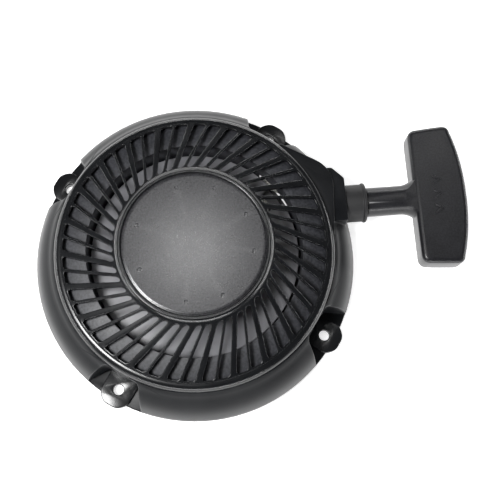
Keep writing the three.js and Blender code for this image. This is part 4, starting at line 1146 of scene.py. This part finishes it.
def washer():
    """The thrust washer between the screw's head and the post."""
    low, high = box_of("screw_washer")
    bore = SCREW_RADIUS + GAP
    profile = [(bore, low.z), (WASHER_RADIUS, low.z), (WASHER_RADIUS, high.z), (bore, high.z)]
    work = lathe(rounded(profile, 0.25, steps=3), 72)
    finished("thrust_washer", work, zinc_steel, "housing", ["screw_washer"])


drive_plate()
for letter, turn in (("a", 0), ("b", 180)):
    pawl(letter, turn)
screw()
washer()

# --------------------------------------------------
# Handle
# --------------------------------------------------

STEM_RADIUS = 8.9
STEM_EDGE = 0.9
STEM_FILLET = 8.0
STEM_STEPS = 12
GRIP_START = 29.5
GRIP_DEPTH = 26.5
GRIP_CROWN = 5.5
GRIP_HALF = 42.0
GRIP_FLARE = 1.2
GRIP_THICK = 18.0
GRIP_EDGE = 3.0
GRIP_CORNER = 6.0
CROWN_CORNER = 4.6
GRIP_BORE = 3.1
POCKET_RADIUS = 7.6
POCKET_START = 44.0
MARK_HALF = 3.5
MARK_STROKE = 1.8
MARK_PITCH = 9
MARK_RISE = 0.6


def curve_points(start, control, end, steps):
    """Points after the start on the curve from start to end."""
    start, control, end = Vector(start), Vector(control), Vector(end)
    return [tuple(on_curve(start, control, end, i / steps)) for i in range(1, steps + 1)]


def bar_outline():
    """Plan of the T-bar: rounded corners, slightly flared ends and a crowned outer side."""
    near = GRIP_HALF
    far = near + GRIP_FLARE
    inner, outer = GRIP_START, GRIP_START + GRIP_DEPTH - GRIP_EDGE
    edge = outer + GRIP_EDGE
    crown = edge + GRIP_CROWN
    points = [(inner, near - GRIP_CORNER), (inner, 0), (inner, -near + GRIP_CORNER)]
    points += curve_points(points[-1], (inner, -near), (inner + GRIP_CORNER, -near), 8)
    points += curve_points(points[-1], ((inner + outer) / 2, -near - GRIP_FLARE / 2), (outer - 2, -far), 4)
    points += curve_points(points[-1], (edge - 0.5, -far), (edge, -far + CROWN_CORNER), 6)
    points += curve_points(points[-1], (crown, -far / 2), (crown, 0), 12)
    points += [(x, -y) for x, y in reversed(points[3:-1])]
    return points


def stem():
    """The round stem with its fillet, no thicker than the bar."""
    profile = [(0, GAP), (STEM_RADIUS - STEM_EDGE, GAP)]
    for angle in (30, 60, 90):
        turn = math.radians(angle)
        radius = STEM_RADIUS - STEM_EDGE * (1 - math.sin(turn))
        profile.append((radius, GAP + STEM_EDGE * (1 - math.cos(turn))))
    start = GRIP_START - STEM_FILLET
    for i in range(STEM_STEPS + 1):
        share = i / STEM_STEPS
        turn = math.pi / 2 * share
        profile.append((STEM_RADIUS + STEM_FILLET * (1 - math.cos(turn)),
                        start + STEM_FILLET * math.sin(turn) + GRIP_EDGE * share))
    profile.append((0, GRIP_START + GRIP_EDGE))
    half = GRIP_THICK / 2 - 0.6
    slab = prism([(-5, -45), (60, -45), (60, 45), (-5, 45)], -half, half)
    return combined(moved(lathe(profile, 96, closed=False), LAID), [("INTERSECT", slab)])


def chevron(i):
    """One raised arrow mark, pointing the way to pull."""
    y = MARK_PITCH * (i - 1)
    back = GRIP_START + GRIP_DEPTH / 2 + 2 - MARK_HALF
    notch = MARK_HALF - MARK_STROKE
    outline = [
        (back, y + MARK_HALF), (back, y + notch), (back + MARK_HALF, y), (back, y - notch),
        (back, y - MARK_HALF), (back + MARK_HALF + MARK_STROKE, y),
    ]
    return softened(prism(outline, GRIP_THICK / 2 - 1, GRIP_THICK / 2 + MARK_RISE), 0.22, 30, 2)


def grip():
    """T-bar with rounded edges, stem with its fillet, and a pocket for the knot."""
    bar = softened(prism(bar_outline(), -GRIP_THICK / 2, GRIP_THICK / 2), GRIP_EDGE, 60, 8)
    flats = [face for face in bar.faces if abs(face.normal.z) > 0.999 and face.calc_area() > 200]
    bmesh.ops.inset_individual(bar, faces=flats, thickness=0.3, use_even_offset=True)
    steps = [("UNION", stem())]
    steps += [("UNION", chevron(i)) for i in range(3)]
    steps.append(("DIFFERENCE", moved(drum(GRIP_BORE, -1, POCKET_START + 1, 32), LAID)))
    steps.append(("DIFFERENCE", moved(drum(POCKET_RADIUS, POCKET_START, 70, 48), LAID)))
    work = moved(combined(bar, steps), on_pull())
    finished("pull_grip", work, grip_plastic, "handle", ["handle_grip"], sharp=30)


def plug():
    """The cap that closes the pocket."""
    end = GRIP_START + GRIP_DEPTH + GRIP_CROWN - 1
    start, radius = end - 4, POCKET_RADIUS - GAP
    profile = rounded([(0, start, 0), (radius, start, 0.2), (radius, end, 0.7), (0, end, 0)], 0, steps=4)
    work = moved(lathe(profile, 56, closed=False), along_pull())
    finished("grip_end_plug", work, grip_plastic, "handle", ["handle_plug"])


grip()
plug()


def stretched_rope():
    """The rope in the grip, paid out between the guide and the grip when the handle is pulled."""
    length, steps = 45.5, 240
    start = Vector((MOUTH.x, MOUTH.y, ROPE_HEIGHT))
    route = [start + PULL * (length * i / steps) for i in range(steps + 1)]
    piece = rope_tube("rope_in_grip", route, None, ["handle_rope"])
    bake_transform(piece)


stretched_rope()
knot_low, knot_high = box_of("handle_knot")
overhand((knot_low + knot_high) / 2, PULL, 0.98, "knot_in_grip", "handle", ["handle_knot"])

# --------------------------------------------------
# Nodes that keep their own mesh
# --------------------------------------------------

for node, finish in (
    ("guide_liner", zinc_steel),
    ("post_insert", turned_brass),
    ("recoil_spring", blue_steel),
    ("spring_keeper", zinc_steel),
    ("pawl_spring_a", blue_steel),
    ("pawl_spring_b", blue_steel),
    ("friction_spring", blue_steel),
    ("knot_washer", zinc_steel),
):
    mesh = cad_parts[node].data
    mesh.materials.clear()
    mesh.materials.append(finish)

# --------------------------------------------------
# Floor
# --------------------------------------------------

floor_finish, tree, shader, place = new_finish("white_studio_floor")
shader.inputs["Base Color"].default_value = linear("#f0f0f0")
shader.inputs["Roughness"].default_value = 0.9
shader.inputs["Emission Color"].default_value = linear("#ffffff")
shader.inputs["Emission Strength"].default_value = 0.7
work = bmesh.new()
bmesh.ops.create_grid(work, x_segments=8, y_segments=8, size=25.0)
floor = finished("studio_floor", work, floor_finish, None, scale=1.0)
floor.data.transform(Matrix.Translation((0, 0, cad_low.z - 0.0005)))
